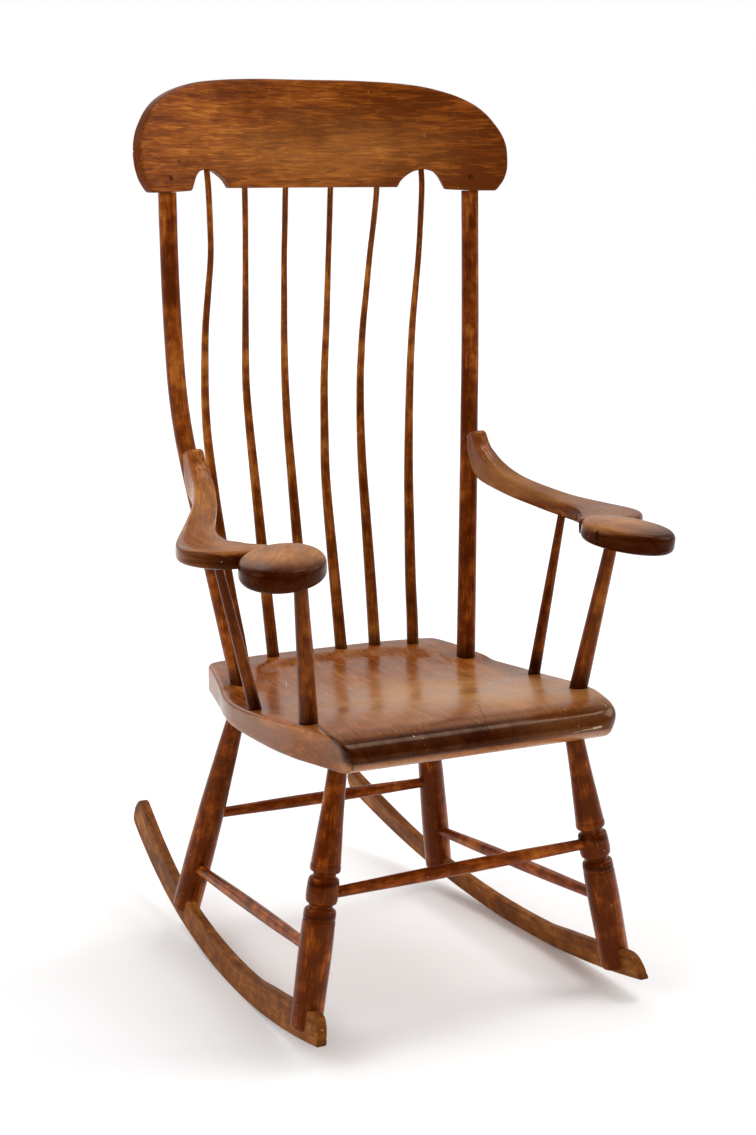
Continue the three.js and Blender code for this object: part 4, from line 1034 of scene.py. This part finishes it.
class ChairFinish(bpy.types.PropertyGroup):
    """Stain colours and gloss of the chair's pieces."""

    board: stain("Board stain", "Stain of the seat and arms", "965019")
    crest: stain("Crest stain", "Stain of the crest rail", "944a10")
    turned: stain("Turned stain", "Stain of the posts, legs and stretchers", "803a0a")
    rod: stain("Spindle stain", "Stain of the back spindles", "88440f")
    rocker: stain("Rocker stain", "Stain of the rockers", "7c4314")
    # Colour of rubbed wood, also used for the painted highlights
    worn_and_highlight: stain("Worn wood", "Wood where the finish is rubbed away", "c48c50")
    gloss: share_of("Roughness", "Roughness of the satin finish", 0.34)


class ChairStage(bpy.types.PropertyGroup):
    """Light on the chair and the floor under it."""

    floor_size: number("Floor size", "Side of the square floor", 60.0, unit="LENGTH")
    sky: number("Room light", "Strength of the light from behind and the sides", 1.02)
    front: share_of("Front share", "Share of the room light that comes from the camera's side", 0.5)
    gleam: share_of("Reflection", "Share of the room light that shows in gloss", 0.6)
    mirror: share_of("Front reflection", "Share of the room that shows in gloss on the camera's side", 0.12)
    lamp: number("Lamps", "Strength of the soft lamps", 0.62)


class CHAIR_OT_seat(bpy.types.Operator):
    """Seat plank with its rolled front, hollow and raised deck"""

    bl_idname = "rocking_chair.seat"
    bl_label = "Seat plank"

    def execute(self, context):
        """Wear in the hollow and by the right front corner, a darker front roll, and darker sides."""
        def wear(points, fibre):
            """Two bells, in the hollow and by the right front corner, and the chamfer of the roll."""
            x, y, z = points.T
            hollow = np.exp(bell(x, 0.02, 0.14) + bell(y, -0.05, 0.1))
            rim = np.exp(bell(x, 0.13, 0.08) + bell(y, -0.14, 0.05))
            chamfer = 0.2 * ease(-0.195, -0.205, y) * ease(0.346, 0.343, z)
            return np.clip(0.85 * hollow + 0.6 * rim, 0, 0.9) * ease(0.34, 0.352, z) + chamfer

        def grime(points, fibre):
            """Steps down the front roll, fading at its foot and its ends, and the deck's rear corners."""
            x, y, z = points.T
            roll = 0.45 * ease(-0.178, -0.192, y) + 0.55 * ease(-0.199, -0.21, y)
            roll *= ease(0.34, 0.3465, z) * (1 - 0.22 * ease(0.02, 0.1, x)) * ease(-0.19, -0.178, x)
            rear = 0.2 * ease(0.14, 0.2, y) * ease(0.1, 0.16, np.abs(x))
            return np.clip(roll + rear, 0, 1)

        def deep(points, fibre):
            """A step from the top to the side, near the sides only."""
            return 0.4 * ease(0.37, 0.354, points[:, 2]) * ease(0.165, 0.185, np.abs(points[:, 0]))

        plank = wood("seat_stain", "board", 3.1, cloud=13.0, figure=(38, 38, 5), rougher=-0.08, shine=0.75,
                     lines=SEAT_LINES, contrast=0.75, mix=BOARD_MIX)
        add_piece("seat", seat_surface(), plank, "seat_stain", "seat_plank",
                  wear=wear, grime=grime, deep=deep)
        return {"FINISHED"}


class CHAIR_OT_back(bpy.types.Operator):
    """Crest rail, posts, spindles and the pegs through the crest"""

    bl_idname = "rocking_chair.back"
    bl_label = "Back"

    def execute(self, context):
        """A worn middle with a painted highlight, painted shade toward the right end, a darker rim and
        lower edge on the crest, and painted shade at the feet of the rods.
        """
        def wear(points, fibre):
            """Wear and a painted highlight: a bell at the middle of the board."""
            x, _, z = points.T
            return 0.25 * np.exp(bell(x, 0.02, 0.16) + bell(z, 1.02, 0.05))

        def grime(points, fibre):
            """A step up to the top edge and one toward each end."""
            x, _, z = points.T
            return 0.12 * ease(1.07, 1.108, z) + 0.1 * ease(0.2, 0.258, np.abs(x))

        def deep(points, fibre):
            """Steps toward the right end, which is painted shade, round the rim and down to the lower edge.
            """
            x, _, z = points.T
            rim = ease(0.0062, 0.0048, np.abs(fibre[:, 1]))
            return 0.3 * ease(0.04, 0.2, x) + 0.5 * rim + 0.12 * ease(0.03, 0.0, z - BACK_TOP)

        crest = wood("crest_stain", "crest", 7.7, cloud=10.0, figure=(60, 60, 7), rougher=0.08,
                     lines=CREST_LINES, contrast=1.15, mix=BOARD_MIX)
        add_piece("crest_rail", crest_surface(), crest, "crest_stain", "crest_board",
                  wear=wear, grime=grime, deep=deep)
        post = wood("post_stain", "turned", 1.3, rougher=-0.1, contrast=1.75)
        spindle = wood("spindle_stain", "rod", 5.9, rougher=-0.1, contrast=1.75)
        peg = wood("peg_stain", "turned", 2.2, lift=0.3, rougher=PEG_ROUGHER)
        # Painted shade at the feet of the posts and spindles, where they stand in the deck
        foot = fading(2, 0.394, 0.364, 0.85)
        for name, side in SIDES:
            add_piece(f"back_post_{name}", post_surface(side), post, "turned_stain", grime=foot)
            height = BACK_TOP + PEG_RISE * TENON_LENGTH
            slope = 2 * CREST_BOW * POST_HEAD[0] / CREST_HALF**2
            way = np.array([side * slope, 1, -CREST_LEAN / CREST_HEIGHT])
            middle = np.array([side * POST_HEAD[0], crest_reach(POST_HEAD[0], height), height])
            middle -= unit(way) * CREST_THICKNESS * CREST_PEG_SHARE
            add_piece(f"crest_peg_{name}", peg_surface(middle, way, CREST_PEG_LENGTH), peg, "peg_stain",
                      f"crest_peg_{name}_end")
        row = [(order, side) for side in (-1, 1) for order in (2, 1, 0)[::-side]]
        for place, (order, side) in enumerate(row, start=1):
            add_piece(f"back_spindle_{place}", spindle_surface(order, side), spindle, "spindle_stain",
                      grime=foot)
        return {"FINISHED"}


class CHAIR_OT_arms(bpy.types.Operator):
    """Arms with their oval hand-holds, and the posts and spindles under them"""

    bl_idname = "rocking_chair.arms"
    bl_label = "Arms"

    def execute(self, context):
        """Worn tops with a painted highlight and sides in painted shade on the arms and hand-holds, and
        painted shade at the feet of the rods.
        """
        def wear(points, fibre):
            """Wear and a painted highlight: a step up to the arm's top, fading where the arm rises to its
            post.
            """
            return 0.3 * ease(0.574, 0.582, points[:, 2]) * ease(0.64, 0.6, points[:, 2])

        def grime(points, fibre):
            """Painted shade: a step from the top to the side, stronger toward the front."""
            face = ease(0.5785, 0.572, points[:, 2]) * ease(0.04, -0.03, points[:, 1])
            return face * (0.5 + 0.5 * ease(-0.05, -0.12, points[:, 1]))

        arm = wood("arm_stain", "board", 4.4, cloud=16.0, rougher=-0.06, shine=0.28, lines=ARM_LINES,
                   mix=BOARD_MIX)
        support = wood("support_stain", "turned", 6.1, lift=0.76, rougher=-0.1, contrast=1.75)
        # Painted shade at the feet of the arm posts and arm spindles, where they stand in the seat
        foot = fading(2, 0.405, 0.37, 0.9)
        for name, side in SIDES:
            add_piece(f"arm_{name}", arm_surface(side), arm, "arm_stain",
                      wear=wear, grime=grime, deep=fading(0, 0, 0.1, 0.25))
            # Hand-hold: wear and a painted highlight on the top, painted shade on the side
            add_piece(f"arm_{name}", knob_surface(side), arm, "arm_stain", f"hand_hold_{name}",
                      wear=fading(2, 0.566, 0.58, 0.35), grime=fading(2, 0.5815, 0.57, 1))
            inset = np.array([side * ARM_POST_INSET * KNOB_LENGTH, 0, 0])
            for label, base, head, widths in (
                    ("post", ARM_POST_FOOT, arm_place(KNOB_PLACE, side) - inset, ARM_POST_WIDTHS),
                    ("spindle", ARM_SPINDLE_FOOT, arm_place(ARM_SPINDLE_HEAD, side), ARM_SPINDLE_WIDTHS)):
                add_piece(f"arm_{label}_{name}", support_surface(base, head, widths, side), support,
                          "turned_stain", grime=foot)
        return {"FINISHED"}


class CHAIR_OT_base(bpy.types.Operator):
    """Turned front legs, plain rear legs, stretchers, rockers and the pegs in the feet"""

    bl_idname = "rocking_chair.base"
    bl_label = "Legs and rockers"

    def execute(self, context):
        """Painted shade in the grooves and at the tops of the legs, and a dark nose on each rocker."""
        def grime(points, fibre):
            """Painted shade: a bell in each groove, and a step up to the seat."""
            z = points[:, 2]
            groove_shade = sum(np.exp(bell(z, height, 0.0035)) for height in (0.196, 0.159))
            return np.clip(0.85 * groove_shade + 0.5 * ease(0.305, 0.33, z), 0, 0.9)

        def evenly(points, fibre):
            """The same little wear everywhere."""
            return np.full(len(points), 0.06)

        leg = wood("leg_stain", "turned", 8.3, rougher=-0.1, contrast=1.9)
        rail = wood("stretcher_stain", "turned", 9.1, lift=1.2, rougher=-0.06, contrast=1.75)
        blade = wood("rocker_stain", "rocker", 10.7, figure=(60, 60, 5), rougher=0.16, shine=0.1)
        peg = wood("foot_peg_stain", "turned", 2.9, lift=0.3, rougher=PEG_ROUGHER)
        kinds = (
            ("front", FRONT_LEG_HEAD, FRONT_FOOT, FRONT_LEG, FRONT_LEG_WIDTH, FRONT_LEG_RINGS, grime),
            # the rear legs get painted shade by a step up to the seat
            ("rear", REAR_LEG_HEAD, REAR_FOOT, REAR_LEG, REAR_LEG_WIDTH, REAR_LEG_RINGS,
             fading(2, 0.305, 0.33, 0.5)))
        pairs = []
        for name, side in SIDES:
            lines = [leg_line(head, foot, side) for _, head, foot, *_ in kinds]
            pairs.append(lines)
            for line, (label, _, _, radii, width, rings, rule) in zip(lines, kinds):
                surface = turning(*line, between(radii, 0, 2 * width), rings, LEG_SIDES)
                add_piece(f"{label}_leg_{name}", surface, leg, "turned_stain", grime=rule)
            add_piece(f"rocker_{name}", blade_surface(side), blade, "rocker_stain",
                      wear=evenly, deep=fading(1, -0.233, -0.2375, 0.6))
            add_piece(f"side_stretcher_{name}", stretcher_surface(lines, SIDE_STRETCHER), rail,
                      "turned_stain")
            for line, (label, _, _, _, width, *_) in zip(lines, kinds):
                height = line[1][2] - FOOT_LIFT + BLADE_DEPTH * FOOT_PEG_RISE
                surface = peg_surface(leg_at(line, height), (1, 0, 0), width * FOOT_PEG_SHARE)
                add_piece(f"{label}_foot_peg_{name}", surface, peg, "peg_stain")
        for label, lines, shares in zip(("front", "rear"), zip(*pairs), (FRONT_STRETCHER, REAR_STRETCHER)):
            add_piece(f"{label}_stretcher", stretcher_surface(lines, shares), rail, "turned_stain")
        return {"FINISHED"}


class CHAIR_OT_stage(bpy.types.Operator):
    """Pale floor, soft lamps, the room's light and the camera"""

    bl_idname = "rocking_chair.stage"
    bl_label = "Floor, light and camera"

    def execute(self, context):
        """Each part of the stage in turn."""
        scene = context.scene
        look = scene.rocking_chair_stage
        self.lay_floor(scene, look.floor_size / 2)
        self.light_room(scene, look)
        for name, source, share, spread in LAMPS:
            data = bpy.data.lights.new(name, "SUN")
            data.energy, data.angle = look.lamp * share, spread
            lamp = bpy.data.objects.new(name, data)
            lamp.rotation_mode = "QUATERNION"
            lamp.rotation_quaternion = Vector(source).to_track_quat("Z", "Y")
            scene.collection.objects.link(lamp)
        self.place_camera(scene)
        scene.view_settings.view_transform = "Standard"
        return {"FINISHED"}

    def lay_floor(self, scene, half):
        """A square floor in two pale tints that cloud into each other."""
        mesh = bpy.data.meshes.new("floor")
        corners = [(-half, -half, 0), (half, -half, 0), (half, half, 0), (-half, half, 0)]
        mesh.from_pydata(corners, [], [(0, 1, 2, 3)])
        floor = bpy.data.objects.new("floor", mesh)
        scene.collection.objects.link(floor)
        net = Net(bpy.data.materials.new("pale_floor"))
        spread = net.noise(net.add("TexCoord", {}).outputs["Object"], (3, 3, 3), 4)
        tint = net.blend(net.range(spread, 0.3, 0.7), *FLOOR_TINTS)
        shader = net.add("BsdfPrincipled", {"Base Color": tint, "Roughness": 0.7})
        net.add("OutputMaterial", {"Surface": shader.outputs[0]})
        mesh.materials.append(net.owner)

    def light_room(self, scene, look):
        """White behind the chair, and a room that darkens by an S toward its dark side, weaker where
        glossy wood mirrors it."""
        net = Net(bpy.data.worlds.new("room"))
        scene.world = net.owner
        path = net.add("LightPath", {}).outputs
        toward = net.add("TexCoord", {}).outputs["Generated"]
        facing = net.vector("DOT_PRODUCT", {0: toward, 1: Vector(DARK_SIDE).normalized()}, "Value")
        light, mirrored = (
            net.range(facing, *DARK_SIDE_SPAN, strength, strength * share)
            for strength, share in ((look.sky, look.front), (look.sky * look.gleam, look.mirror)))
        shown = net.add("Mix", {0: path["Is Camera Ray"], 2: mirrored, 3: 1.0}).outputs[0]
        seen, cast = (net.add("Background", {"Color": WHITE, "Strength": strength}).outputs[0]
                      for strength in (shown, light))
        rays = path["Is Camera Ray"]
        for name in ("Is Glossy Ray", "Is Transmission Ray"):
            rays = net.math("MAXIMUM", rays, path[name])
        mix = net.add("MixShader", {0: rays, 1: cast, 2: seen}).outputs[0]
        net.add("OutputWorld", {0: mix})

    def place_camera(self, scene):
        """The camera at the photo's view, pitched down from level and turned about the upright."""
        data = bpy.data.cameras.new("view")
        data.sensor_width = SENSOR
        data.lens = FOCAL_PIXELS * SENSOR / IMAGE_HEIGHT
        camera = bpy.data.objects.new("view", data)
        camera.location = Vector(CAMERA_PLACE) + ORIGIN
        camera.rotation_euler = np.radians((90 - CAMERA_PITCH, 0, CAMERA_TURN))
        scene.collection.objects.link(camera)
        scene.camera = camera


class CHAIR_PT_sidebar(bpy.types.Panel):
    """Sidebar list of the chair's steps and finishes"""

    bl_idname = "CHAIR_PT_sidebar"
    bl_label = "Rocking chair"
    bl_space_type = "VIEW_3D"
    bl_region_type = "UI"
    bl_category = "Rocking chair"

    def draw(self, context):
        """A button for each step, then each setting."""
        for step in STEPS:
            self.layout.operator(step.bl_idname)
        scene = context.scene
        for group in (scene.rocking_chair_finish, scene.rocking_chair_stage):
            for name in type(group).__annotations__:
                self.layout.prop(group, name)


STEPS = (CHAIR_OT_stage, CHAIR_OT_seat, CHAIR_OT_back, CHAIR_OT_arms, CHAIR_OT_base)
CLASSES = (ChairFinish, ChairStage, *STEPS, CHAIR_PT_sidebar)


def register():
    """Adds the settings, the steps and the panel."""
    for item in CLASSES:
        bpy.utils.register_class(item)
    bpy.types.Scene.rocking_chair_finish = bpy.props.PointerProperty(type=ChairFinish)
    bpy.types.Scene.rocking_chair_stage = bpy.props.PointerProperty(type=ChairStage)


def unregister():
    """Takes them away again, in the opposite order."""
    del bpy.types.Scene.rocking_chair_stage
    del bpy.types.Scene.rocking_chair_finish
    for item in reversed(CLASSES):
        bpy.utils.unregister_class(item)


def main():
    register()
    steps = bpy.ops.rocking_chair
    steps.stage()
    steps.seat()
    steps.back()
    steps.arms()
    steps.base()


if __name__ == "__main__":
    main()
